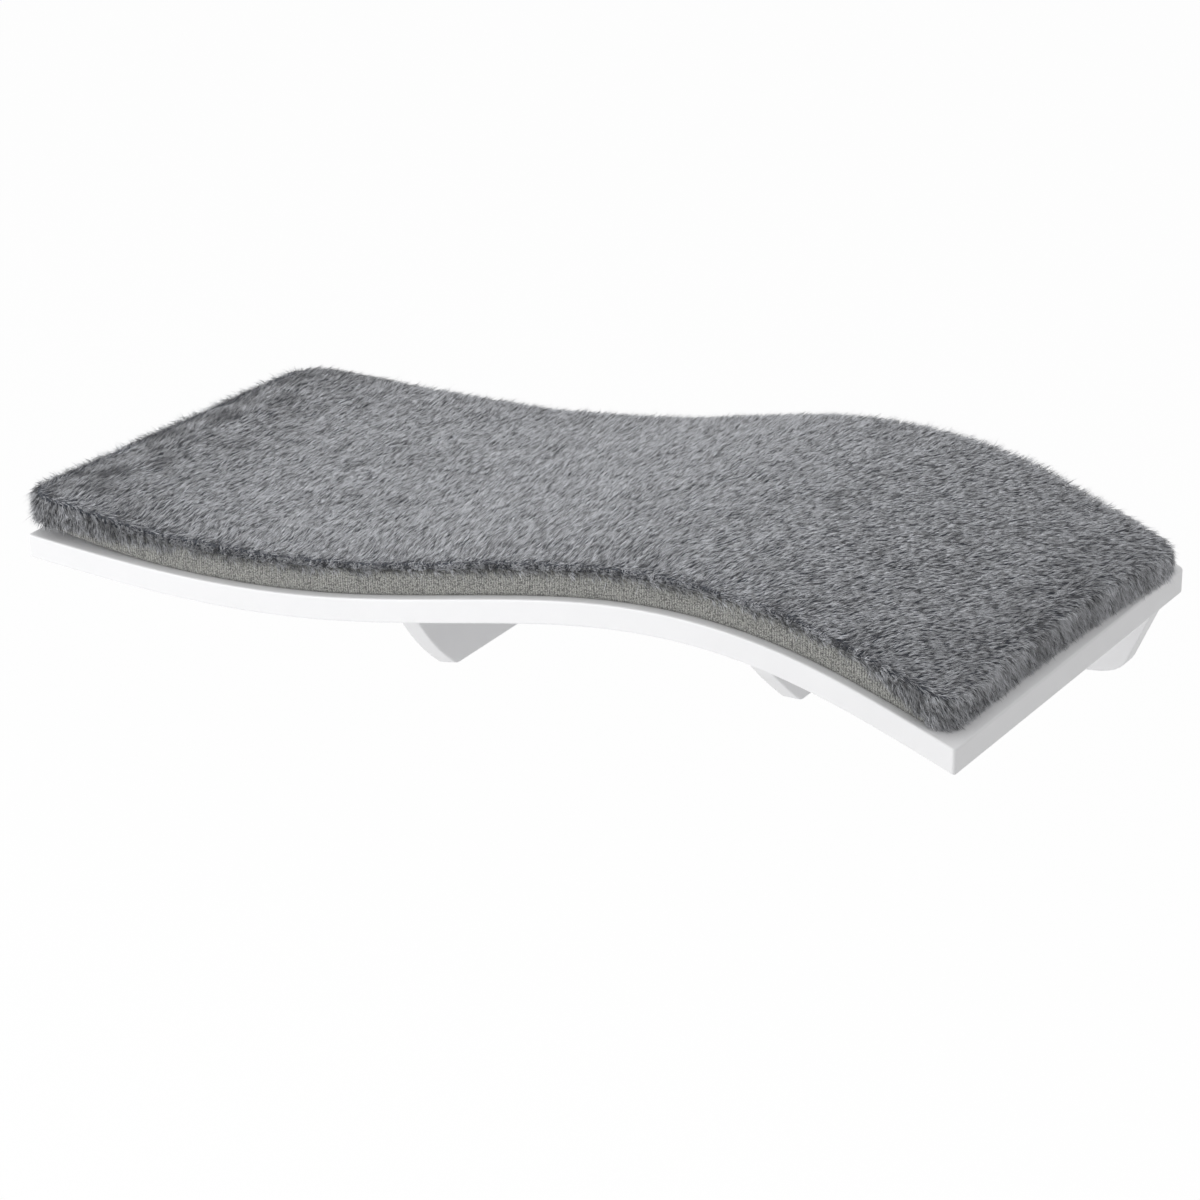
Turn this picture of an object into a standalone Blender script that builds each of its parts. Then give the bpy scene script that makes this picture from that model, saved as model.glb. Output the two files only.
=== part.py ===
"""Wall-mounted cat bed: a wave-bent shelf board on a wall rail and two gussets, with a lift-off plush pad.

Metres. X runs along the wall to the right, +Y goes into the wall and +Z is up. The origin is the
middle of the rail's back face, on the line of the wall-screw holes. The pad's layers are stacked
square to the board's top, so they follow its wave.
"""
import math

import bmesh
import bpy
import numpy as np
from mathutils import Matrix, Vector

# Clearance between pieces that touch
GAP = 0.0003
# How far a cutting shape runs past the face that it opens
CUT_PAST = 0.002

# Shelf board, one sheet of press-bent plywood
BOARD_LENGTH = 0.600
BOARD_DEPTH = 0.272
BOARD_THICKNESS = 0.014
BOARD_WALL_GAP = 0.001
BOARD_CORNER_RADIUS = 0.002
EDGE_EASE = 0.001
# Heights of the board's top above the wall-screw line, at equal steps from its left to its right end
WAVE_HEIGHTS = (0.0320, 0.0310, 0.0403, 0.0619, 0.0811, 0.0775, 0.0489)

# Rail against the wall
RAIL_THICKNESS = 0.012
RAIL_FOOT_LEVEL = -0.0225
RAIL_END_INSET = 0.0065
RAIL_END_LEAN = math.radians(23.5)
RAIL_CORNER_RUN = 0.028
RAIL_CORNER_RISE = 0.012

# Gussets, square to the board above them
GUSSET_THICKNESS = 0.012
# Distances along the wall from the board's nearer end
GUSSET_END_INSETS = {"left": 0.224, "right": 0.179}
# Distances back from the board's front edge, at the gusset's top and at its foot
GUSSET_NOSE_SETBACKS = {"left": 0.043, "right": 0.060}
GUSSET_TOE_SETBACKS = {"left": 0.079, "right": 0.141}
GUSSET_FRONT_BOW = 0.005
GUSSET_CORNER_RADIUS = 0.003

# Wood screws
SCREW_LENGTH = 0.035
SCREW_SHANK_RADIUS = 0.00175
SCREW_HEAD_RADIUS = 0.0035
SCREW_HEAD_HEIGHT = 0.0025
SCREW_TIP_LENGTH = 0.005
SCREW_RECESS_RADIUS = 0.0016
SCREW_RECESS_FLOOR_RADIUS = 0.0011
SCREW_RECESS_DEPTH = 0.0012
SCREW_SINK = 0.0004
SCREW_CLEARANCE = 0.0003
# Screws through the board into the rail: outer ones from the board's ends, inner ones left of each gusset
RAIL_SCREW_END_INSETS = {"left": 0.045, "right": 0.095}
RAIL_SCREW_GUSSET_OFFSETS = {"left": 0.064, "right": 0.036}
# Screws through the board into each gusset: from the wall and from the board's front edge
GUSSET_REAR_SCREW_REACH = 0.060
GUSSET_FRONT_SCREW_SETBACK = 0.088
# Screws through the rail into each gusset: from the gusset's top and from its foot
GUSSET_RAIL_SCREW_MARGIN = 0.014

# Countersunk holes for the wall screws: two near the board's ends and two beside the rail's middle
WALL_HOLE_END_INSET = 0.075
WALL_HOLE_MIDDLE_OFFSET = 0.045
WALL_HOLE_RADIUS = 0.0025
WALL_SINK_RADIUS = 0.005

# Pad: its sides lie inside the board's edges by these distances
PAD_LEFT_INSET = 0.0
PAD_RIGHT_INSET = 0.008
PAD_FRONT_INSET = 0.010
PAD_BACK_INSET = 0.010
PAD_CORNER_RADIUS = 0.016
PAD_DRAW_IN = 0.003
PAD_END_LIFT = 0.004
PAD_LIFT_LENGTH = 0.120
BASE_CLOTH_THICKNESS = 0.004
SIDE_BAND_THICKNESS = 0.003
SIDE_BAND_HEIGHT = 0.0155
PLUSH_EDGE_THICKNESS = 0.0055
PLUSH_CROWN = 0.0065
PLUSH_ROUND = 0.004
PLUSH_OVERHANG = 0.003

# Hook-and-loop patches between the pad and the board
PATCH_LENGTH = 0.050
PATCH_WIDTH = 0.025
PATCH_THICKNESS = 0.0012
PATCH_SIDE_CLEARANCE = 0.001
PATCH_LEFT_MARGIN = 0.070
PATCH_RIGHT_MARGIN = 0.045
PATCH_EDGE_MARGIN = 0.045

# Fineness of the round and bent stretches
STATION_STEP = 0.0125
CROWN_STEP = 0.025
ROUND_SIDES = 16
CORNER_SEGMENTS = 5
CURVE_POINTS = 8
SCREW_SIDES = 12

BOARD_RIGHT = BOARD_LENGTH / 2
BOARD_LEFT = -BOARD_RIGHT
BOARD_BACK = -BOARD_WALL_GAP
BOARD_FRONT = BOARD_BACK - BOARD_DEPTH
GUSSET_PLACES = {"left": BOARD_LEFT + GUSSET_END_INSETS["left"],
                 "right": BOARD_RIGHT - GUSSET_END_INSETS["right"]}
PAD_LEFT = BOARD_LEFT + PAD_LEFT_INSET
PAD_RIGHT = BOARD_RIGHT - PAD_RIGHT_INSET
PAD_FRONT = BOARD_FRONT + PAD_FRONT_INSET
PAD_BACK = BOARD_BACK - PAD_BACK_INSET
PAD_LENGTH = PAD_RIGHT - PAD_LEFT
PAD_DEPTH = PAD_BACK - PAD_FRONT
PAD_MIDDLE = Vector(((PAD_LEFT + PAD_RIGHT) / 2, (PAD_FRONT + PAD_BACK) / 2, 0.0))
LOOP_LEVEL = PATCH_THICKNESS + 2 * GAP
POCKET_LEVEL = LOOP_LEVEL + PATCH_THICKNESS + GAP
FOAM_LEVEL = GAP + BASE_CLOTH_THICKNESS + GAP
PLUSH_LEVEL = SIDE_BAND_HEIGHT + GAP


class Wave:
    """The bent board's top: a smooth curve through its heights, and the curves parallel to it."""

    def __init__(self):
        heights = np.array(WAVE_HEIGHTS)
        self.count = len(heights)
        self.step = BOARD_LENGTH / (self.count - 1)
        self.heights = heights
        system = np.eye(self.count)
        bends = np.zeros(self.count)
        for i in range(1, self.count - 1):
            system[i, i - 1:i + 2] = (1.0, 4.0, 1.0)
            bends[i] = 6.0 * (heights[i - 1] - 2.0 * heights[i] + heights[i + 1]) / self.step ** 2
        self.bends = np.linalg.solve(system, bends)

    def height(self, x):
        """Height of the board's top over a place along the wall; straight on past its ends."""
        inside = min(max(x, BOARD_LEFT), BOARD_RIGHT)
        i = min(int((inside - BOARD_LEFT) / self.step), self.count - 2)
        left = inside - BOARD_LEFT - i * self.step
        right = self.step - left
        curve = (self.bends[i] * right ** 3 + self.bends[i + 1] * left ** 3) / (6.0 * self.step)
        low = (self.heights[i] / self.step - self.bends[i] * self.step / 6.0) * right
        high = (self.heights[i + 1] / self.step - self.bends[i + 1] * self.step / 6.0) * left
        return curve + low + high + (x - inside) * self.slope(inside)

    def slope(self, x):
        """Rise of the board's top for each metre to the right."""
        inside = min(max(x, BOARD_LEFT), BOARD_RIGHT)
        i = min(int((inside - BOARD_LEFT) / self.step), self.count - 2)
        left = inside - BOARD_LEFT - i * self.step
        right = self.step - left
        curve = (self.bends[i + 1] * left ** 2 - self.bends[i] * right ** 2) / (2.0 * self.step)
        chord = (self.heights[i + 1] - self.heights[i]) / self.step
        return curve + chord - (self.bends[i + 1] - self.bends[i]) * self.step / 6.0

    def parallel(self, x, offset):
        """Height over x of the curve that runs a set distance from the board's top."""
        foot = x
        for _ in range(4):
            slope = self.slope(foot)
            foot = x + offset * slope / math.hypot(1.0, slope)
        slope = self.slope(foot)
        return self.height(foot) + offset / math.hypot(1.0, slope)

    def angle(self, x):
        """Angle of the board's top to the level."""
        return math.atan(self.slope(x))


WAVE = Wave()


def pad_height(x, offset):
    """Height over x of a pad layer: it follows the board and curls up a little at its left end."""
    curl = max(0.0, 1.0 - (x - PAD_LEFT) / PAD_LIFT_LENGTH)
    return WAVE.parallel(x, offset) + PAD_END_LIFT * curl ** 2


def make_material(name, color, roughness, metallic=0.0):
    """A plain Principled material."""
    material = bpy.data.materials.new(name)
    material.use_nodes = True
    shader = material.node_tree.nodes["Principled BSDF"]
    shader.inputs["Base Color"].default_value = (*color, 1.0)
    shader.inputs["Roughness"].default_value = roughness
    shader.inputs["Metallic"].default_value = metallic
    return material


def add_object(name, mesh, material=None, origin=(0, 0, 0), parent=None):
    """Puts a mesh, made about its own origin, into the scene at that origin."""
    obj = bpy.data.objects.new(name, mesh)
    bpy.context.scene.collection.objects.link(obj)
    if material is not None and not mesh.materials:
        mesh.materials.append(material)
    obj.location = Vector(origin)
    if parent is not None:
        obj.location -= parent.location
        obj.parent = parent
    return obj


def to_mesh(bm, name, origin=(0, 0, 0)):
    """Turns a bmesh made in the part's frame into a mesh about the given origin."""
    bmesh.ops.translate(bm, vec=-Vector(origin), verts=bm.verts)
    bmesh.ops.recalc_face_normals(bm, faces=bm.faces)
    mesh = bpy.data.meshes.new(name)
    bm.to_mesh(mesh)
    bm.free()
    return mesh


def hide_cutter(obj):
    """Marks an object as a cutting shape only."""
    obj.hide_render = True
    obj.display_type = "WIRE"


def cut(obj, cutter):
    """Cuts one object out of another."""
    modifier = obj.modifiers.new("cut_" + cutter.name, "BOOLEAN")
    modifier.operation = "DIFFERENCE"
    modifier.solver = "EXACT"
    modifier.object = cutter


def bevel_edges(bm, edges, width, segments):
    """Rounds the given edges."""
    bmesh.ops.bevel(bm, geom=edges, offset=width, offset_type="OFFSET", segments=segments, profile=0.5,
                    affect="EDGES", material=-1, clamp_overlap=True)


def runs_along(edge, axis):
    """Whether an edge runs along one axis, given by its number."""
    across = edge.verts[1].co - edge.verts[0].co
    across[axis] = 0.0
    return across.length < 1e-7


def flat_slab(left, right, front, back, bottom, top, corner_radius=0.0):
    """A flat rectangular slab, its upright corners rounded."""
    bm = bmesh.new()
    size = Vector((right - left, back - front, top - bottom))
    middle = Vector((left + right, front + back, bottom + top)) / 2
    bmesh.ops.create_cube(bm, size=1.0, matrix=Matrix.Translation(middle) @ Matrix.Diagonal((*size, 1.0)))
    if corner_radius > 0.0:
        bevel_edges(bm, [e for e in bm.edges if runs_along(e, 2)], corner_radius, CORNER_SEGMENTS)
    return bm


def slice_along(bm, axis, low, high, step):
    """Cuts a mesh across at equal places along one axis, so that it can bend there."""
    count = max(1, round((high - low) / step))
    normal = Vector((0, 0, 0))
    normal[axis] = 1.0
    for i in range(1, count):
        place = normal * (low + (high - low) * i / count)
        geometry = bm.verts[:] + bm.edges[:] + bm.faces[:]
        bmesh.ops.bisect_plane(bm, geom=geometry, dist=1e-6, plane_co=place, plane_no=normal)


def press(bm, height_over):
    """Bends a flat slab: each point's height becomes its distance from the board's top."""
    low = min(v.co.x for v in bm.verts)
    high = max(v.co.x for v in bm.verts)
    slice_along(bm, 0, low, high, STATION_STEP)
    for vert in bm.verts:
        vert.co.z = height_over(vert.co.x, vert.co.z)


def draw_in(bm):
    """Draws the pad's long sides in between its corners."""
    for vert in bm.verts:
        across = vert.co.x - PAD_MIDDLE.x
        share = 2.0 * PAD_DRAW_IN / PAD_DEPTH * math.cos(math.pi * across / PAD_LENGTH)
        vert.co.y -= (vert.co.y - PAD_MIDDLE.y) * share


def turned(profile, sides):
    """Turns an outline of (radius, height) points, from axis to axis, about Z."""
    bm = bmesh.new()
    verts = [bm.verts.new((radius, 0.0, height)) for radius, height in profile]
    edges = [bm.edges.new(pair) for pair in zip(verts, verts[1:])]
    bmesh.ops.spin(bm, geom=verts + edges, cent=(0, 0, 0), axis=(0, 0, 1), angle=math.tau, steps=sides,
                   use_merge=True, use_normal_flip=False, use_duplicate=False)
    bmesh.ops.remove_doubles(bm, verts=bm.verts, dist=1e-6)
    return bm


def extruded_outline(points, depth_axis, thickness):
    """A plate: an outline of three-part points, made thick along one axis."""
    bm = bmesh.new()
    face = bm.faces.new([bm.verts.new(point) for point in points])
    shift = Vector((0, 0, 0))
    shift[depth_axis] = thickness
    result = bmesh.ops.extrude_face_region(bm, geom=[face])
    bmesh.ops.translate(bm, vec=shift, verts=[g for g in result["geom"] if isinstance(g, bmesh.types.BMVert)])
    bmesh.ops.recalc_face_normals(bm, faces=bm.faces)
    rims = [e for e in bm.edges if not runs_along(e, depth_axis)]
    bevel_edges(bm, rims, EDGE_EASE, 2)
    return bm


def ease_corner(start, corner, end):
    """Points of a soft corner: a curve from start to end that bends towards the corner."""
    points = []
    for i in range(CURVE_POINTS + 1):
        t = i / CURVE_POINTS
        points.append(start * (1 - t) ** 2 + corner * 2 * t * (1 - t) + end * t ** 2)
    return points


# Board

def build_board(material):
    """The bent board, with its edges eased."""
    bm = flat_slab(BOARD_LEFT, BOARD_RIGHT, BOARD_FRONT, BOARD_BACK, -BOARD_THICKNESS, 0.0,
                   BOARD_CORNER_RADIUS)
    top_and_bottom = [f for f in bm.faces if abs(f.normal.z) > 0.9]
    rims = {edge for face in top_and_bottom for edge in face.edges}
    bevel_edges(bm, list(rims), EDGE_EASE, 2)
    press(bm, WAVE.parallel)
    return add_object("shelf_board", to_mesh(bm, "shelf_board"), material)


# Rail

def rail_outline():
    """The rail's outline on the wall: its top follows the board's underside, its foot is level."""
    under = -(BOARD_THICKNESS + GAP)
    lean = math.tan(RAIL_END_LEAN)
    ends = []
    for side in (-1, 1):
        x = side * (BOARD_RIGHT - RAIL_END_INSET)
        top = Vector((x, 0.0, WAVE.parallel(x, under)))
        foot = Vector((x - side * lean * (top.z - RAIL_FOOT_LEVEL), 0.0, RAIL_FOOT_LEVEL))
        up_the_end = (top - foot).normalized() * (RAIL_CORNER_RISE / math.cos(RAIL_END_LEAN))
        along = Vector((-side * RAIL_CORNER_RUN, 0.0, 0.0))
        ends.append((top, ease_corner(foot + up_the_end, foot, foot + along)))
    (left_top, left_corner), (right_top, right_corner) = ends
    count = round((right_top.x - left_top.x) / STATION_STEP)
    top_edge = []
    for i in range(count + 1):
        x = left_top.x + (right_top.x - left_top.x) * i / count
        top_edge.append(Vector((x, 0.0, WAVE.parallel(x, under))))
    return top_edge + right_corner + left_corner[::-1]


def build_rail(material):
    """The rail, with countersunk holes for the wall screws."""
    bm = extruded_outline(rail_outline(), 1, -RAIL_THICKNESS)
    rail = add_object("back_rail", to_mesh(bm, "back_rail"), material)
    sink = WALL_SINK_RADIUS - WALL_HOLE_RADIUS
    through = -RAIL_THICKNESS - CUT_PAST
    profile = [(0.0, CUT_PAST), (WALL_SINK_RADIUS + CUT_PAST, CUT_PAST), (WALL_HOLE_RADIUS, -sink),
               (WALL_HOLE_RADIUS, through), (0.0, through)]
    hole_mesh = to_mesh(turned(profile, ROUND_SIDES), "wall_hole")
    outer = BOARD_RIGHT - WALL_HOLE_END_INSET
    inner = WALL_HOLE_MIDDLE_OFFSET
    for number, offset in enumerate((-outer, -inner, inner, outer), 1):
        hole = add_object(f"wall_hole_{number}", hole_mesh, None, (offset, -RAIL_THICKNESS, 0.0))
        hole.rotation_euler = (math.radians(90), 0, 0)
        hide_cutter(hole)
        cut(rail, hole)
    return rail


# Gussets

def gusset_root(side):
    """Where a gusset's middle plane meets the board's underside, and the board's angle there."""
    x = GUSSET_PLACES[side]
    angle = WAVE.angle(x)
    normal = Vector((-math.sin(angle), 0.0, math.cos(angle)))
    top = Vector((x, 0.0, WAVE.height(x)))
    return top - normal * BOARD_THICKNESS, normal, angle


def gusset_drop(side):
    """How far a gusset reaches below the board's underside to come level with the rail's foot."""
    root, normal, _ = gusset_root(side)
    return (root.z - RAIL_FOOT_LEVEL) / normal.z


def bowed(nose, toe, share):
    """A point part of the way down a gusset's front edge, which bows outwards a little."""
    chord = toe - nose
    outward = Vector((0.0, chord.z, -chord.y)).normalized()
    return nose + chord * share + outward * GUSSET_FRONT_BOW * 4 * share * (1 - share)


def gusset_outline(side):
    """A gusset seen from its side, as points (0, y, height) below its root."""
    back = -(RAIL_THICKNESS + GAP)
    top = -GAP
    foot = -gusset_drop(side)
    nose = Vector((0.0, BOARD_FRONT + GUSSET_NOSE_SETBACKS[side], top))
    toe = Vector((0.0, BOARD_FRONT + GUSSET_TOE_SETBACKS[side], foot))
    straight = 1 - GUSSET_CORNER_RADIUS / (toe - nose).length
    front = [bowed(nose, toe, straight * i / CURVE_POINTS) for i in range(CURVE_POINTS)]
    corner = ease_corner(bowed(nose, toe, straight), toe, toe + Vector((0.0, GUSSET_CORNER_RADIUS, 0.0)))
    return front + corner + [Vector((0.0, back, foot)), Vector((0.0, back, top))]


def build_gusset(side, material):
    """A gusset, standing square to the board."""
    root, _, angle = gusset_root(side)
    points = [point + Vector((-GUSSET_THICKNESS / 2, 0.0, 0.0)) for point in gusset_outline(side)]
    bm = extruded_outline(points, 0, GUSSET_THICKNESS)
    gusset = add_object(f"{side}_gusset", to_mesh(bm, f"{side}_gusset"), material, root)
    gusset.rotation_euler = (0.0, -angle, 0.0)
    return gusset


# Screws

def screw_meshes():
    """The countersunk wood screw, its head at the origin and its point down, and the hole it sits in."""
    straight = SCREW_LENGTH - SCREW_TIP_LENGTH
    profile = [(0.0, -SCREW_RECESS_DEPTH), (SCREW_RECESS_FLOOR_RADIUS, -SCREW_RECESS_DEPTH),
               (SCREW_RECESS_RADIUS, 0.0), (SCREW_HEAD_RADIUS, 0.0), (SCREW_SHANK_RADIUS, -SCREW_HEAD_HEIGHT),
               (SCREW_SHANK_RADIUS, -straight), (0.0, -SCREW_LENGTH)]
    wide = SCREW_CLEARANCE
    above = SCREW_SINK + CUT_PAST
    hole = [(0.0, above), (SCREW_HEAD_RADIUS + wide, above), (SCREW_HEAD_RADIUS + wide, -wide),
            (SCREW_SHANK_RADIUS + wide, -SCREW_HEAD_HEIGHT - wide), (SCREW_SHANK_RADIUS + wide, -straight),
            (0.0, -SCREW_LENGTH - 2 * wide)]
    screw_mesh = to_mesh(turned(profile, SCREW_SIDES), "wood_screw")
    screw_mesh.shade_smooth()
    screw_mesh.set_sharp_from_angle(angle=math.radians(40))
    return screw_mesh, to_mesh(turned(hole, SCREW_SIDES), "screw_hole")


def screw_places():
    """Each screw's name, head centre, outward direction and the pieces that it goes through."""
    places = []
    rail_places = (BOARD_LEFT + RAIL_SCREW_END_INSETS["left"],
                   GUSSET_PLACES["left"] - RAIL_SCREW_GUSSET_OFFSETS["left"],
                   GUSSET_PLACES["right"] - RAIL_SCREW_GUSSET_OFFSETS["right"],
                   BOARD_RIGHT - RAIL_SCREW_END_INSETS["right"])
    for number, x in enumerate(rail_places, 1):
        angle = WAVE.angle(x)
        normal = Vector((-math.sin(angle), 0.0, math.cos(angle)))
        head = Vector((x, -RAIL_THICKNESS / 2, WAVE.height(x))) - normal * SCREW_SINK
        places.append((f"board_rail_screw_{number}", head, normal, ("shelf_board", "back_rail")))
    for side in GUSSET_PLACES:
        root, normal, _ = gusset_root(side)
        top = root + normal * (BOARD_THICKNESS - SCREW_SINK)
        ys = {"rear": -GUSSET_REAR_SCREW_REACH, "front": BOARD_FRONT + GUSSET_FRONT_SCREW_SETBACK}
        for place, y in ys.items():
            head = Vector((top.x, y, top.z))
            name = f"{side}_gusset_{place}_screw"
            places.append((name, head, normal, ("shelf_board", f"{side}_gusset")))
        drops = (GUSSET_RAIL_SCREW_MARGIN, gusset_drop(side) - GUSSET_RAIL_SCREW_MARGIN)
        for place, drop in zip(("upper", "lower"), drops):
            head = root - normal * drop + Vector((0.0, -SCREW_SINK, 0.0))
            name = f"{side}_gusset_{place}_rail_screw"
            places.append((name, head, Vector((0.0, 1.0, 0.0)), ("back_rail", f"{side}_gusset")))
    return places


def build_screws(material):
    """All the screws, each in a hole with a little room round it."""
    screw_mesh, hole_mesh = screw_meshes()
    for name, head, outward, pieces in screw_places():
        turn = Vector((0, 0, 1)).rotation_difference(outward).to_euler()
        screw = add_object(name, screw_mesh, material, head)
        screw.rotation_euler = turn
        hole = add_object(name + "_hole", hole_mesh, None, head)
        hole.rotation_euler = turn
        hide_cutter(hole)
        for piece in pieces:
            cut(bpy.data.objects[piece], hole)


# Hook-and-loop patches

def patch_places():
    """The middles of the four patches."""
    xs = (PAD_LEFT + PATCH_LEFT_MARGIN, PAD_RIGHT - PATCH_RIGHT_MARGIN)
    ys = (PAD_FRONT + PATCH_EDGE_MARGIN, PAD_BACK - PATCH_EDGE_MARGIN)
    names = ("left_front", "left_rear", "right_front", "right_rear")
    return [(name, x, y) for name, (x, y) in zip(names, [(x, y) for x in xs for y in ys])]


def patch(x, y, bottom, top, room, height_over):
    """One patch, or with some room round it the pocket for one."""
    half_length = PATCH_LENGTH / 2 + room
    half_width = PATCH_WIDTH / 2 + room
    bm = flat_slab(x - half_length, x + half_length, y - half_width, y + half_width, bottom, top)
    press(bm, height_over)
    return bm


def build_patches(base_cloth, hook_material, loop_material, pad):
    """The hook patches stuck on the board and the loop patches in pockets of the pad's base cloth."""
    for name, x, y in patch_places():
        origin = Vector((x, y, WAVE.height(x)))
        hook = patch(x, y, GAP, GAP + PATCH_THICKNESS, 0.0, WAVE.parallel)
        add_object(f"hook_patch_{name}", to_mesh(hook, f"hook_patch_{name}", origin), hook_material, origin)
        loop = patch(x, y, LOOP_LEVEL, LOOP_LEVEL + PATCH_THICKNESS, 0.0, pad_height)
        mesh = to_mesh(loop, f"loop_patch_{name}", origin)
        add_object(f"loop_patch_{name}", mesh, loop_material, origin, pad)
        below = -BASE_CLOTH_THICKNESS
        pocket = patch(x, y, below, POCKET_LEVEL, PATCH_SIDE_CLEARANCE, pad_height)
        cutter = add_object(f"pocket_{name}", to_mesh(pocket, f"pocket_{name}", origin), None, origin, pad)
        hide_cutter(cutter)
        cut(base_cloth, cutter)


# Pad

def pad_slab(inset, bottom, top):
    """A flat slab of the pad's outline, drawn in from it all round."""
    return flat_slab(PAD_LEFT + inset, PAD_RIGHT - inset, PAD_FRONT + inset, PAD_BACK - inset, bottom, top,
                     PAD_CORNER_RADIUS - inset)


def add_pad_piece(name, bm, material, pad):
    """Puts a pad layer in place; the pad's pieces hang from one empty on the lifting axis."""
    return add_object(name, to_mesh(bm, name, pad.location), material, pad.location, pad)


def build_inner_layer(name, bottom, top, material, pad):
    """A layer that lies inside the side band."""
    bm = pad_slab(SIDE_BAND_THICKNESS + GAP, bottom, top)
    press(bm, pad_height)
    draw_in(bm)
    return add_pad_piece(name, bm, material, pad)


def build_side_band(material, pad):
    """The band round the pad's sides, a closed ring."""
    bm = pad_slab(0.0, GAP, SIDE_BAND_HEIGHT)
    caps = [f for f in bm.faces if abs(f.normal.z) > 0.9]
    bmesh.ops.inset_individual(bm, faces=caps, thickness=SIDE_BAND_THICKNESS, depth=0.0, use_even_offset=True)
    caps = [f for f in bm.faces if abs(f.normal.z) > 0.9 and len(f.verts) > 4]
    inner_edges = [edge for face in caps for edge in face.edges]
    bmesh.ops.delete(bm, geom=caps, context="FACES_ONLY")
    bmesh.ops.bridge_loops(bm, edges=inner_edges)
    press(bm, pad_height)
    draw_in(bm)
    return add_pad_piece("pad_side_band", bm, material, pad)


def build_plush_top(material, pad):
    """The plush top: rounded over at its rim and crowned in the middle."""
    top = PLUSH_LEVEL + PLUSH_EDGE_THICKNESS
    bm = pad_slab(-PLUSH_OVERHANG, PLUSH_LEVEL, top)
    upper = [f for f in bm.faces if f.normal.z > 0.9]
    bevel_edges(bm, [edge for face in upper for edge in face.edges], PLUSH_ROUND, 3)
    slice_along(bm, 1, PAD_FRONT, PAD_BACK, CROWN_STEP)
    low = min(v.co.x for v in bm.verts)
    high = max(v.co.x for v in bm.verts)
    slice_along(bm, 0, low, high, CROWN_STEP)
    for vert in bm.verts:
        if vert.co.z > top - PLUSH_ROUND:
            along = max(0.0, 1.0 - (2 * (vert.co.x - PAD_MIDDLE.x) / PAD_LENGTH) ** 4)
            across = max(0.0, 1.0 - (2 * (vert.co.y - PAD_MIDDLE.y) / PAD_DEPTH) ** 2)
            vert.co.z += PLUSH_CROWN * along * across
        vert.co.z = pad_height(vert.co.x, vert.co.z)
    draw_in(bm)
    return add_pad_piece("pad_plush_top", bm, material, pad)


def build_pad(materials):
    """The lift-off pad and the patches that hold it."""
    pad = bpy.data.objects.new("pad", None)
    bpy.context.scene.collection.objects.link(pad)
    pad.location = PAD_MIDDLE + Vector((0.0, 0.0, WAVE.height(PAD_MIDDLE.x)))
    base_cloth = build_inner_layer("pad_base_cloth", GAP, GAP + BASE_CLOTH_THICKNESS, materials["base"], pad)
    build_inner_layer("pad_foam_core", FOAM_LEVEL, SIDE_BAND_HEIGHT, materials["foam"], pad)
    build_side_band(materials["band"], pad)
    build_plush_top(materials["plush"], pad)
    build_patches(base_cloth, materials["hook"], materials["loop"], pad)


def main():
    """Clears the scene and builds the bed."""
    for obj in list(bpy.data.objects):
        bpy.data.objects.remove(obj)
    lacquer = make_material("white_lacquer", (0.86, 0.86, 0.87), 0.35)
    zinc = make_material("zinc_plate", (0.72, 0.72, 0.70), 0.35, 1.0)
    pad_materials = {
        "base": make_material("base_cloth", (0.30, 0.30, 0.31), 0.9),
        "foam": make_material("foam", (0.85, 0.82, 0.72), 0.95),
        "band": make_material("linen_band", (0.42, 0.41, 0.39), 0.9),
        "plush": make_material("grey_plush", (0.24, 0.25, 0.27), 0.95),
        "hook": make_material("hook_tape", (0.05, 0.05, 0.05), 0.8),
        "loop": make_material("loop_tape", (0.07, 0.07, 0.07), 0.95),
    }
    build_board(lacquer)
    build_rail(lacquer)
    for side in GUSSET_PLACES:
        build_gusset(side, lacquer)
    build_screws(zinc)
    build_pad(pad_materials)


main()
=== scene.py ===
"""Looks of a wall-mounted cat bed: a white lacquered wave shelf with a lift-off plush pad.

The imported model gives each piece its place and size. The shelf's wooden parts keep their shape and get
their finish here. The screws, the hook-and-loop patches and every layer of the pad are modelled in detail
and stand for their plain solids.
"""

import logging
import math
from dataclasses import dataclass, field
from enum import Enum

import bmesh
import bpy
import numpy as np
from mathutils import Matrix, Vector, noise


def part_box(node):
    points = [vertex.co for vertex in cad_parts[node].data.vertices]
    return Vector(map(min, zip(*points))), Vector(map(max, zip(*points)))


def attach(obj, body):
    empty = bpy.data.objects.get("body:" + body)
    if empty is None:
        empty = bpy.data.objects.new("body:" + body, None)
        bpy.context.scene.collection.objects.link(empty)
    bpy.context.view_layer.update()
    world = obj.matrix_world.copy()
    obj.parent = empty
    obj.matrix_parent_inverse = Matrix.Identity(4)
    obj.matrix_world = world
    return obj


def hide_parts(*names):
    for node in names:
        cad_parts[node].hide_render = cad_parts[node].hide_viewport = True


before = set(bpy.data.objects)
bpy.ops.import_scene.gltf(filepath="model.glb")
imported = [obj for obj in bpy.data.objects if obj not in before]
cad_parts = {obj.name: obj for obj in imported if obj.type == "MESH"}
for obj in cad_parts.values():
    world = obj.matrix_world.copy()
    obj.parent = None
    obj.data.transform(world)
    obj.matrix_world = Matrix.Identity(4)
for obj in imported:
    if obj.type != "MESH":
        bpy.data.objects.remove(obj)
bpy.context.view_layer.update()

LOG = logging.getLogger("cat_bed")
MERGE = 1e-6
SHORTEST = 1e-9
STRAND_MAP = "OFBake"
Color = tuple[float, float, float]
Triple = tuple[float, float, float]


class Body(Enum):
    """The two bodies that pieces ride on."""

    SHELF = "shelf"
    PAD = "pad"


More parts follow.
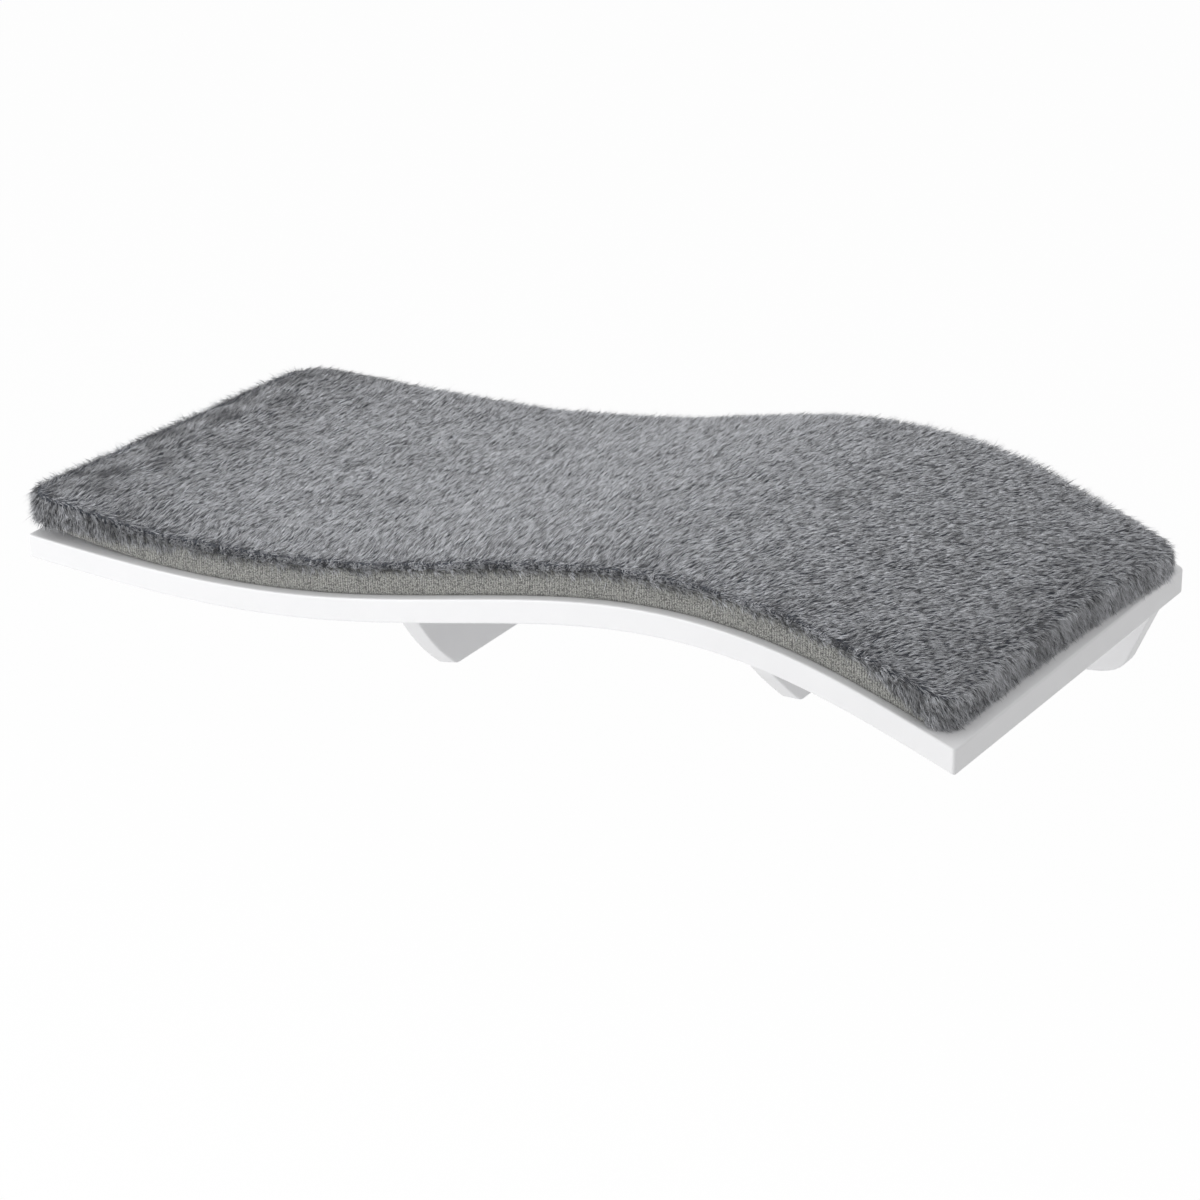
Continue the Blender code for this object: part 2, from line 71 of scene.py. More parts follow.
class Slot(Enum):
    """The materials' names."""

    BOARD = "board_lacquer"
    SUPPORT = "support_lacquer"
    ZINC = "zinc"
    HOOK = "hook_tape"
    LOOP = "loop_tape"
    BASE = "base_cloth"
    FOAM = "foam"
    BAND = "knit_band"
    PLUSH = "plush"


# Meshes


def nodes_with(word: str) -> list[str]:
    """The frame's nodes that have a word in their name, in order."""
    return sorted(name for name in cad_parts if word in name)


def placed(name: str, data: bpy.types.ID) -> bpy.types.Object:
    """Adds an object with the given data to the scene.

    Args:
        name: The object's name.
        data: Its mesh, lamp or camera.

    Returns:
        The new object, at the origin.
    """
    thing = bpy.data.objects.new(name, data)
    bpy.context.scene.collection.objects.link(thing)
    return thing


def finished(bm: bmesh.types.BMesh, name: str) -> bpy.types.Object:
    """Turns a bmesh, made where it belongs, into an object at the origin.

    Args:
        bm: The shape; it is freed.
        name: The piece's name.

    Returns:
        The new object.
    """
    bmesh.ops.recalc_face_normals(bm, faces=bm.faces)
    mesh = bpy.data.meshes.new(name)
    bm.to_mesh(mesh)
    bm.free()
    return placed(name, mesh)


def block(size: Triple, middle: Triple) -> bmesh.types.BMesh:
    """A plain block of the given size round a middle."""
    bm = bmesh.new()
    bmesh.ops.create_cube(bm, size=1.0, matrix=Matrix.Translation(middle) @ Matrix.Diagonal((*size, 1.0)))
    return bm


def split(bm: bmesh.types.BMesh, place: Triple | Vector, normal: Triple | Vector) -> None:
    """Cuts a shape's faces along a plane and keeps both sides."""
    geometry = bm.verts[:] + bm.edges[:] + bm.faces[:]
    bmesh.ops.bisect_plane(bm, geom=geometry, dist=MERGE, plane_co=place, plane_no=normal)


def round_edges(bm: bmesh.types.BMesh, edges: list[bmesh.types.BMEdge], width: float, segments: int) -> None:
    """Rounds some of a shape's edges."""
    bmesh.ops.bevel(bm, geom=edges, offset=width, offset_type="OFFSET", segments=segments, profile=0.5,
                    affect="EDGES", material=-1, clamp_overlap=True)


def settle(piece: bpy.types.Object) -> None:
    """Makes what an object's modifiers show its own mesh, and drops the modifiers.

    Args:
        piece: The object.
    """
    depsgraph = bpy.context.evaluated_depsgraph_get()
    shown = piece.evaluated_get(depsgraph)
    mesh = bpy.data.meshes.new_from_object(shown, preserve_all_data_layers=True, depsgraph=depsgraph)
    piece.modifiers.clear()
    piece.data = mesh


def cut_out(piece: bpy.types.Object, cutter: bpy.types.Object) -> None:
    """Takes a cutter's shape out of a piece.

    Args:
        piece: The piece.
        cutter: The cutter; it is removed.
    """
    cut = piece.modifiers.new("cut", "BOOLEAN")
    cut.solver = "EXACT"
    cut.object = cutter
    settle(piece)
    bpy.data.objects.remove(cutter)


def smooth(mesh: bpy.types.Mesh, sharp_angle: float) -> None:
    """Shades a mesh smooth, but for edges sharper than the given angle."""
    mesh.shade_smooth()
    mesh.set_sharp_from_angle(angle=sharp_angle)


def rows_of(items: bpy.types.bpy_prop_collection, key: str, width: int,
            number: type = np.float32) -> np.ndarray:
    """Reads one value of each item of a mesh.

    Args:
        items: The mesh's vertices, loops or triangles.
        key: The value's name.
        width: How many numbers it has.
        number: The numbers' type.

    Returns:
        One row for each item.
    """
    flat = np.empty(len(items) * width, number)
    items.foreach_get(key, flat)
    return flat.reshape(-1, width)


def points_of(mesh: bpy.types.Mesh) -> np.ndarray:
    """The mesh's points as an array of rows."""
    return rows_of(mesh.vertices, "co", 3).astype(float)


def move_points(mesh: bpy.types.Mesh, points: np.ndarray) -> None:
    """Puts the mesh's points at new places."""
    mesh.vertices.foreach_set("co", points.astype(np.float32).ravel())
    mesh.update()


def mean_by_group(values: np.ndarray, groups: np.ndarray, count: int) -> np.ndarray:
    """The mean row of each group.

    Args:
        values: One row for each member.
        groups: Each member's group number.
        count: How many groups there are.

    Returns:
        One row for each group, zeros for an empty one.
    """
    members = np.maximum(np.bincount(groups, minlength=count), 1)
    sums = [np.bincount(groups, column, minlength=count) for column in values.T]
    return np.column_stack(sums) / members[:, None]


def nearness(gap: np.ndarray, reach: float) -> np.ndarray:
    """1 where the gap is nothing, falling evenly to 0 where it is as wide as the reach."""
    return np.clip(1.0 - gap / reach, 0.0, 1.0)


def distances(walk: np.ndarray) -> np.ndarray:
    """The distance walked at each point of a line."""
    return np.concatenate(([0.0], np.cumsum(np.linalg.norm(np.diff(walk, axis=0), axis=1))))


def places_at(at: np.ndarray, walked: np.ndarray, walk: np.ndarray) -> np.ndarray:
    """The places on a line at the given distances."""
    return np.column_stack([np.interp(at, walked, column) for column in walk.T])


def unit(rows: np.ndarray) -> np.ndarray:
    """The rows brought to length one."""
    return rows / np.maximum(np.linalg.norm(rows, axis=1, keepdims=True), SHORTEST)


def turns_to(along: np.ndarray, side: np.ndarray) -> np.ndarray:
    """Euler angles that turn local Z along one direction and local X towards another.

    Args:
        along: Unit rows for local Z.
        side: Rows that local X comes as near to as it can.

    Returns:
        One row of XYZ Euler angles for each row.
    """
    x = unit(side - along * (side * along).sum(1, keepdims=True))
    y = np.cross(along, x)
    about_x = np.arctan2(y[:, 2], along[:, 2])
    about_y = -np.arcsin(np.clip(x[:, 2], -1.0, 1.0))
    about_z = np.arctan2(x[:, 1], x[:, 0])
    return np.column_stack((about_x, about_y, about_z))


@dataclass(frozen=True)
class Stalk:
    """A thin upright stalk of unit length that bends over towards local X."""

    sides: int
    shares: tuple[float, ...]
    radii: tuple[float, ...]
    curl: float = 0.0
    straight: float = 0.0
    strung: bool = False
    tip_merge: float = 1e-3

    def axis_point(self, share: float) -> tuple[Vector, float]:
        """Follows the stalk's axis.

        Args:
            share: How far along its length.

        Returns:
            The place there, and how far the axis has turned.
        """
        bent = 1.0 - self.straight
        if share <= self.straight or self.curl == 0.0:
            return Vector((0.0, 0.0, share)), 0.0
        angle = self.curl * (share - self.straight) / bent
        radius = bent / self.curl
        place = Vector((radius * (1.0 - math.cos(angle)), 0.0, self.straight + radius * math.sin(angle)))
        return place, angle

    def build(self, name: str) -> bpy.types.Object:
        """Models the stalk; a strung one is turned and scaled so that its tip is at (0, 0, 1).

        Args:
            name: The model's name.

        Returns:
            The model.
        """
        bm = bmesh.new()
        foot = self.radii[0]
        bmesh.ops.create_cone(bm, cap_ends=True, segments=self.sides, radius1=foot, radius2=foot, depth=1.0,
                              matrix=Matrix.Translation((0.0, 0.0, 0.5)))
        for share in self.shares[1:-1]:
            split(bm, (0, 0, share), (0, 0, 1))
        along = bm.verts.layers.float.new("along")
        for vert in bm.verts:
            share = min(max(vert.co.z, 0.0), 1.0)
            vert[along] = share
            radius = float(np.interp(share, self.shares, self.radii)) / foot
            centre, angle = self.axis_point(share)
            outward = Vector((math.cos(angle), 0.0, -math.sin(angle)))
            vert.co = centre + outward * vert.co.x * radius + Vector((0.0, vert.co.y * radius, 0.0))
        if self.strung:
            tip, _ = self.axis_point(1.0)
            turn = Matrix.Rotation(-math.atan2(tip.x, tip.z), 4, "Y")
            bmesh.ops.transform(bm, matrix=turn @ Matrix.Scale(1.0 / tip.length, 4), verts=bm.verts)
        bmesh.ops.remove_doubles(bm, verts=bm.verts, dist=self.tip_merge)
        stalk = finished(bm, name)
        stalk.data.shade_smooth()
        return stalk


class Planting:
    """Sets stalks on points, by a small node tree that is applied at once."""

    def __init__(self, stalks: list[bpy.types.Object]) -> None:
        """Builds the node tree: each point takes the stalk that its kind names.

        Args:
            stalks: The models, in the order of their kinds.
        """
        self.stalks = stalks
        self.tree = bpy.data.node_groups.new("planting", "GeometryNodeTree")
        link = self.tree.links.new
        for way in ("INPUT", "OUTPUT"):
            self.tree.interface.new_socket("Geometry", in_out=way, socket_type="NodeSocketGeometry")
        entry = self.add("NodeGroupInput")
        joined = self.add("GeometryNodeJoinGeometry")
        for kind, stalk in enumerate(stalks):
            same = self.add("FunctionNodeCompare", data_type="INT", operation="EQUAL")
            link(self.attribute("kind", "INT"), same.inputs[2])
            same.inputs[3].default_value = kind
            model = self.add("GeometryNodeObjectInfo", transform_space="ORIGINAL")
            model.inputs["Object"].default_value = stalk
            place = self.add("GeometryNodeInstanceOnPoints")
            link(entry.outputs[0], place.inputs["Points"])
            link(same.outputs[0], place.inputs["Selection"])
            link(model.outputs["Geometry"], place.inputs["Instance"])
            link(self.attribute("turn", "FLOAT_VECTOR"), place.inputs["Rotation"])
            link(self.attribute("reach", "FLOAT"), place.inputs["Scale"])
            link(place.outputs[0], joined.inputs[0])
        real = self.add("GeometryNodeRealizeInstances")
        link(joined.outputs[0], real.inputs[0])
        pair = self.add("ShaderNodeCombineXYZ")
        link(self.attribute("shade", "FLOAT"), pair.inputs[0])
        link(self.attribute("along", "FLOAT"), pair.inputs[1])
        store = self.add("GeometryNodeStoreNamedAttribute", data_type="FLOAT2", domain="CORNER")
        store.inputs["Name"].default_value = STRAND_MAP
        link(real.outputs[0], store.inputs["Geometry"])
        link(pair.outputs[0], store.inputs["Value"])
        link(store.outputs[0], self.add("NodeGroupOutput").inputs[0])

    def add(self, kind: str, **settings: str) -> bpy.types.Node:
        """Adds a node to the tree.

        Args:
            kind: The node's type.
            settings: The node's own options.

        Returns:
            The node.
        """
        node = self.tree.nodes.new(kind)
        for option, value in settings.items():
            setattr(node, option, value)
        return node

    def attribute(self, name: str, data_type: str) -> bpy.types.NodeSocket:
        """A socket that reads one of the points' attributes."""
        node = self.add("GeometryNodeInputNamedAttribute", data_type=data_type)
        node.inputs["Name"].default_value = name
        return node.outputs[0]

    def plant(self, name: str, roots: np.ndarray, turns: np.ndarray, reach: np.ndarray, shade: np.ndarray,
              kind: np.ndarray) -> bpy.types.Object:
        """Makes one piece of all the stalks on the given points.

        Args:
            name: The piece's name.
            roots: Where each stalk starts.
            turns: Each stalk's Euler angles.
            reach: Each stalk's size.
            shade: Each stalk's shade, from 0, dark, to 1, pale.
            kind: Which model each stalk takes.

        Returns:
            The piece, with shade and place along the stalk in its UV map.
        """
        mesh = bpy.data.meshes.new(name)
        mesh.vertices.add(len(roots))
        move_points(mesh, roots)
        sorts = (("turn", "FLOAT_VECTOR", "vector", turns), ("reach", "FLOAT", "value", reach),
                 ("shade", "FLOAT", "value", shade), ("kind", "INT", "value", kind))
        for label, data_type, key, values in sorts:
            numbers = np.asarray(values, np.int32 if data_type == "INT" else np.float32).ravel()
            mesh.attributes.new(label, data_type, "POINT").data.foreach_set(key, numbers)
        piece = placed(name, mesh)
        piece.modifiers.new("planting", "NODES").node_group = self.tree
        settle(piece)
        for label in ("turn", "reach", "shade", "kind", "along"):
            if label in piece.data.attributes:
                piece.data.attributes.remove(piece.data.attributes[label])
        return piece

    def clear(self) -> None:
        """Removes the models and the node tree."""
        for stalk in self.stalks:
            bpy.data.objects.remove(stalk)
        bpy.data.node_groups.remove(self.tree)


# Finishes


class Recipe:
    """A Principled material and the nodes that drive it."""

    def __init__(self, name: str, color: Color, roughness: float, metallic: float = 0.0) -> None:
        """Starts a material from its plain values."""
        self.material = bpy.data.materials.new(name)
        self.material.use_nodes = True
        self.tree = self.material.node_tree
        self.shader = self.tree.nodes["Principled BSDF"]
        self.shader.inputs["Base Color"].default_value = (*color, 1.0)
        self.shader.inputs["Roughness"].default_value = roughness
        self.shader.inputs["Metallic"].default_value = metallic
        self.object_place = self.node("TexCoord").outputs["Object"]

    def node(self, kind: str, options: dict[str, object] | None = None, **values: object) -> bpy.types.Node:
        """Adds a shader node.

        Args:
            kind: The node's type, without its common beginning.
            options: The node's own settings.
            values: Input names, with _ for a space, and a number or a socket for each.

        Returns:
            The node.
        """
        node = self.tree.nodes.new("ShaderNode" + kind)
        for option, value in (options or {}).items():
            setattr(node, option, value)
        for label, value in values.items():
            self.feed(node.inputs[label.replace("_", " ")], value)
        return node

    def feed(self, socket: bpy.types.NodeSocket, value: object) -> None:
        """Links a socket to another one, or sets its value."""
        if isinstance(value, bpy.types.NodeSocket):
            self.tree.links.new(value, socket)
        else:
            socket.default_value = value

    def stretched(self, scale: tuple[float, float, float],
                  place: bpy.types.NodeSocket | None = None) -> bpy.types.NodeSocket:
        """A place whose axes are scaled one by one."""
        return self.node("Mapping", Vector=place or self.object_place, Scale=scale).outputs[0]

    def cloud(self, size: float, detail: float = 2.0,
              place: bpy.types.NodeSocket | None = None) -> bpy.types.NodeSocket:
        """Soft noise, from 0 to 1, with lumps of about the given size in metres."""
        place = place or self.object_place
        return self.node("TexNoise", Vector=place, Scale=1.0 / size, Detail=detail).outputs[0]

    def ranged(self, value: bpy.types.NodeSocket, low: float, high: float, start: float = 0.3,
               end: float = 0.7) -> bpy.types.NodeSocket:
        """A value taken from one range to another."""
        node = self.node("MapRange", Value=value, From_Min=start, From_Max=end, To_Min=low, To_Max=high)
        return node.outputs[0]

    def sum_of(self, operation: str, first: object, second: object) -> bpy.types.NodeSocket:
        """Two numbers or sockets put together by a Math node."""
        node = self.node("Math", {"operation": operation})
        self.feed(node.inputs[0], first)
        self.feed(node.inputs[1], second)
        return node.outputs[0]

    def mixed(self, factor: object, first: object, second: object, way: str = "MIX") -> bpy.types.NodeSocket:
        """Two colours mixed; a colour is a triple or a socket."""
        node = self.node("Mix", {"data_type": "RGBA", "blend_type": way})
        self.feed(node.inputs[0], factor)
        for socket, color in ((node.inputs[6], first), (node.inputs[7], second)):
            self.feed(socket, (*color, 1.0) if isinstance(color, tuple) else color)
        return node.outputs[2]

    def color(self, socket: bpy.types.NodeSocket) -> None:
        """Drives the colour."""
        self.feed(self.shader.inputs["Base Color"], socket)

    def roughness(self, socket: bpy.types.NodeSocket) -> None:
        """Drives the roughness."""
        self.feed(self.shader.inputs["Roughness"], socket)

    def speckled(self, size: float, detail: float, first: Color, second: Color, most: float = 1.0) -> None:
        """Drives the colour from the first to the second in lumps of about the given size."""
        self.color(self.mixed(self.ranged(self.cloud(size, detail), 0.0, most), first, second))

    def scuffed(self, size: float, detail: float, low: float, high: float) -> None:
        """Drives the roughness from low to high in lumps of about the given size."""
        self.roughness(self.ranged(self.cloud(size, detail), low, high))

    def dimmed(self, color: object, light: bpy.types.NodeSocket) -> None:
        """Drives the colour with one that is darkened by a value from 0, black, to 1."""
        gray = self.node("CombineColor", Red=light, Green=light, Blue=light).outputs[0]
        self.color(self.mixed(1.0, color, gray, "MULTIPLY"))

    def bump(self, height: bpy.types.NodeSocket, depth: float) -> None:
        """Adds relief on top of any relief before it.

        Args:
            height: The relief, from 0 to 1.
            depth: Its depth in metres.
        """
        node = self.node("Bump", Height=height, Distance=depth, Strength=1.0)
        normal = self.shader.inputs["Normal"]
        if normal.is_linked:
            self.tree.links.new(normal.links[0].from_socket, node.inputs["Normal"])
        self.tree.links.new(node.outputs[0], normal)

    def fuzz(self, weight: float, roughness: float, tint: Color) -> None:
        """Gives cloth its soft sheen."""
        self.shader.inputs["Sheen Weight"].default_value = weight
        self.shader.inputs["Sheen Roughness"].default_value = roughness
        self.shader.inputs["Sheen Tint"].default_value = (*tint, 1.0)


class Finish:
    """A kind of surface, which starts from a plain colour and roughness."""

    color: Color
    roughness: float
    metallic: float = 0.0

    def make(self, name: str) -> bpy.types.Material:
        """Makes the material.

        Args:
            name: The material's name.

        Returns:
            The material, with this surface's own nodes.
        """
        recipe = Recipe(name, self.color, self.roughness, self.metallic)
        self.paint(recipe)
        return recipe.material

    def paint(self, recipe: Recipe) -> None:
        """Adds this surface's own nodes to its material."""
        raise NotImplementedError


@dataclass(frozen=True)
class Lacquer(Finish):
    """Satin white lacquer on wood: a fine orange peel, faint grain and a faint cloudiness."""

    color: Color
    roughness: float = 0.42
    gloss_swing: float = 0.06
    cloudiness: float = 0.965
    grain: float = 0.004
    grain_depth: float = 0.00002
    peel: float = 0.0013
    peel_depth: float = 0.00003

    def paint(self, recipe: Recipe) -> None:
        """Adds the cloudiness, the grain along X and the orange peel."""
        recipe.dimmed(self.color, recipe.ranged(recipe.cloud(0.07, 3.0), self.cloudiness, 1.0))
        recipe.scuffed(0.02, 4.0, self.roughness - self.gloss_swing, self.roughness + self.gloss_swing)
        recipe.bump(recipe.cloud(self.grain, 3.0, recipe.stretched((0.04, 1.0, 1.0))), self.grain_depth)
        recipe.bump(recipe.cloud(self.peel, 1.0), self.peel_depth)


@dataclass(frozen=True)
class ZincPlate(Finish):
    """Bright zinc plate on steel, with a faint yellow cast and fine scuffs."""

    color: Color = (0.72, 0.72, 0.70)
    warm: Color = (0.76, 0.73, 0.62)
    roughness: float = 0.3
    metallic: float = 1.0
    polish: float = 0.08
    scuff: float = 0.15

    def paint(self, recipe: Recipe) -> None:
        """Adds the cast and the scuffs."""
        recipe.speckled(0.003, 2.0, self.color, self.warm, 0.7)
        recipe.scuffed(0.0008, 4.0, self.roughness - self.polish, self.roughness + self.scuff)
        recipe.bump(recipe.cloud(0.0004, 2.0), 0.00001)


@dataclass(frozen=True)
class Cloth(Finish):
    """Woven cloth: threads over and under each other along X and Y."""

    color: Color
    # The colour of the painted shade between the threads.
    dark: Color
    thread: float
    depth: float
    roughness: float = 0.85
    unevenness: float = 0.2

    def paint(self, recipe: Recipe) -> None:
        """Adds the weave, in relief and as painted shade between the threads."""
        scale = 1.0 / (self.thread * 3.14)
        warp, weft = (recipe.node("TexWave", {"bands_direction": axis, "wave_profile": "SIN"},
                                  Vector=recipe.object_place, Scale=scale, Distortion=0.4,
                                  Detail=1.0).outputs["Fac"] for axis in ("X", "Y"))
        weave = recipe.sum_of("MULTIPLY", warp, weft)
        uneven = recipe.ranged(recipe.cloud(0.012, 4.0), -self.unevenness, self.unevenness)
        # Painted shade: the colour darkens between the threads; the uneven tone on top is the cloth's own.
        recipe.color(recipe.mixed(recipe.sum_of("ADD", weave, uneven), self.dark, self.color))
        recipe.bump(weave, self.depth)
        recipe.fuzz(0.25, 0.5, self.color)


@dataclass(frozen=True)
class Nylon(Finish):
    """Black nylon of hook-and-loop tape."""

    color: Color
    pale: Color
    roughness: float = 0.5
    gloss_swing: float = 0.1

    def paint(self, recipe: Recipe) -> None:
        """Adds the speckles and the uneven gloss."""
        recipe.speckled(0.0025, 3.0, self.color, self.pale)
        recipe.scuffed(0.001, 2.0, self.roughness - self.gloss_swing, self.roughness + self.gloss_swing)
        recipe.bump(recipe.cloud(0.0003), 0.00003)


@dataclass(frozen=True)
class CellFoam(Finish):
    """Cream polyurethane foam with open cells."""

    color: Color = (0.85, 0.82, 0.72)
    # The painted shade in the cells' hollows.
    pit_shade: Color = (0.62, 0.56, 0.42)
    roughness: float = 0.9
    cell: float = 0.0011
    cell_depth: float = 0.0003

    def paint(self, recipe: Recipe) -> None:
        """Adds the cells, in relief and with painted shade in their hollows."""
        scale = 1.0 / self.cell
        cells = recipe.node("TexVoronoi", Vector=recipe.object_place, Scale=scale).outputs["Distance"]
        # Painted shade: the colour darkens towards each cell's middle, in its hollow.
        recipe.color(recipe.mixed(recipe.ranged(cells, 1.0, 0.0, 0.1, 0.5), self.color, self.pit_shade))
        recipe.bump(cells, self.cell_depth)


@dataclass(frozen=True)
class RibKnit(Finish):
    """Beige-grey rib knit; its map counts ribs across and stitches up."""

    color: Color = (0.65, 0.65, 0.615)
    # The colour of the painted shade in the grooves and between the loops.
    dark: Color = (0.09, 0.09, 0.088)
    roughness: float = 0.9
    yarn_depth: float = 0.0004

    def paint(self, recipe: Recipe) -> None:
        """Adds painted shade in the grooves between the ribs, painted light and shade on the loops, and the
        yarn's fibres.
        """
        knit = recipe.node("UVMap", {"uv_map": "knit"}).outputs[0]
        across = recipe.node("SeparateXYZ", Vector=knit).outputs[0]
        # Painted shade: darker in the grooves between the ribs.
        groove_shade = recipe.ranged(recipe.sum_of("PINGPONG", across, 0.5), 1.0, 0.0, 0.0, 0.5)
        loops = recipe.node("TexVoronoi", Vector=recipe.stretched((2.0, 1.6, 1.0), knit),
                            Scale=1.0, Randomness=0.9).outputs["Distance"]
        fibres = recipe.node("TexNoise", Vector=recipe.stretched((7.0, 2.5, 1.0), knit), Scale=1.0,
                             Detail=3.0).outputs[0]
        # Painted light and shade: each loop pale at its middle and dark at its edges.
        loop_and_groove_shade = recipe.sum_of("MULTIPLY", recipe.ranged(groove_shade, 0.55, 1.0, 0.15, 0.8),
                            recipe.ranged(loops, 1.35, 0.1, 0.05, 0.8))
        tone = recipe.sum_of("ADD", loop_and_groove_shade, recipe.ranged(fibres, -0.35, 0.35))
        recipe.color(recipe.mixed(tone, self.dark, self.color))
        recipe.bump(tone, self.yarn_depth)
        recipe.fuzz(0.3, 0.5, self.color)


@dataclass(frozen=True)
class PlushBacking(Finish):
    """The dark knitted ground that the pile grows from."""

    color: Color = (0.05, 0.055, 0.065)
    pale: Color = (0.11, 0.12, 0.14)
    roughness: float = 0.95

    def paint(self, recipe: Recipe) -> None:
        """Adds the speckles and the knit's relief."""
        recipe.speckled(0.002, 3.0, self.color, self.pale)
        recipe.bump(recipe.cloud(0.0015), 0.0005)


@dataclass(frozen=True)
class PileFibre(Finish):
    """Cool grey fibres, dark at the root and paler towards the tip; the dark root is partly the fibre's own
    colour and partly painted shade deep in the pile, and the strands' map gives each strand's shade, which
    holds painted shade too.
    """

    # Partly the fibre's own colour and partly painted shade deep in the pile.
    root: Color = (0.06, 0.066, 0.078)
    color: Color = (0.60, 0.61, 0.64)
    tip: Color = (0.93, 0.935, 0.965)
    belly: float = 0.35
    roughness: float = 0.62
    shades: tuple[float, float] = (0.10, 1.4)
    sheen: Color = (0.86, 0.88, 0.94)

    def paint(self, recipe: Recipe) -> None:
        """Adds the change of colour along each fibre, and each fibre's shade, painted shade included."""
        strand = recipe.node("UVMap", {"uv_map": STRAND_MAP}).outputs[0]
        shade, along = recipe.node("SeparateXYZ", Vector=strand).outputs[:2]
        # Painted shade in part: the fibre darkens towards its root, deep in the pile.
        low = recipe.mixed(recipe.ranged(along, 0.0, 1.0, 0.0, self.belly), self.root, self.color)
        whole = recipe.mixed(recipe.ranged(along, 0.0, 1.0, self.belly, 1.0), low, self.tip)
        recipe.dimmed(whole, recipe.ranged(shade, *self.shades, 0.0, 1.0))
        recipe.fuzz(0.35, 0.45, self.sheen)


def coat(piece: bpy.types.Object, material: bpy.types.Material) -> None:
    """Gives a new piece its material."""
    piece.data.materials.clear()
    piece.data.materials.append(material)


def show(piece: bpy.types.Object, body: Body, *nodes: str) -> None:
    """Puts a finished piece on its body and, where it stands for CAD nodes, in their place."""
    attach(piece, body.value)
    if nodes:
        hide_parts(*nodes)
    LOG.info("%s: %d faces", piece.name, len(piece.data.polygons))


# Shelf


@dataclass
class Shelf:
    """The wooden parts, which keep the shape that the frame gives them."""

    board: Lacquer = Lacquer((0.88, 0.88, 0.89), 0.40)
    support: Lacquer = Lacquer((0.86, 0.86, 0.87), 0.44)
    board_nodes: tuple[str, ...] = ("shelf_board",)
    support_nodes: tuple[str, ...] = ("back_rail", "left_gusset", "right_gusset")

    def dress(self) -> None:
        """Gives the board and its supports their lacquer."""
        for nodes, lacquer, name in ((self.board_nodes, self.board, "board_lacquer"),
                                     (self.support_nodes, self.support, "support_lacquer")):
            material = lacquer.make(name)
            for node in nodes:
                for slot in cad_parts[node].material_slots:
                    slot.material = material
                LOG.info("%s: lacquered", node)


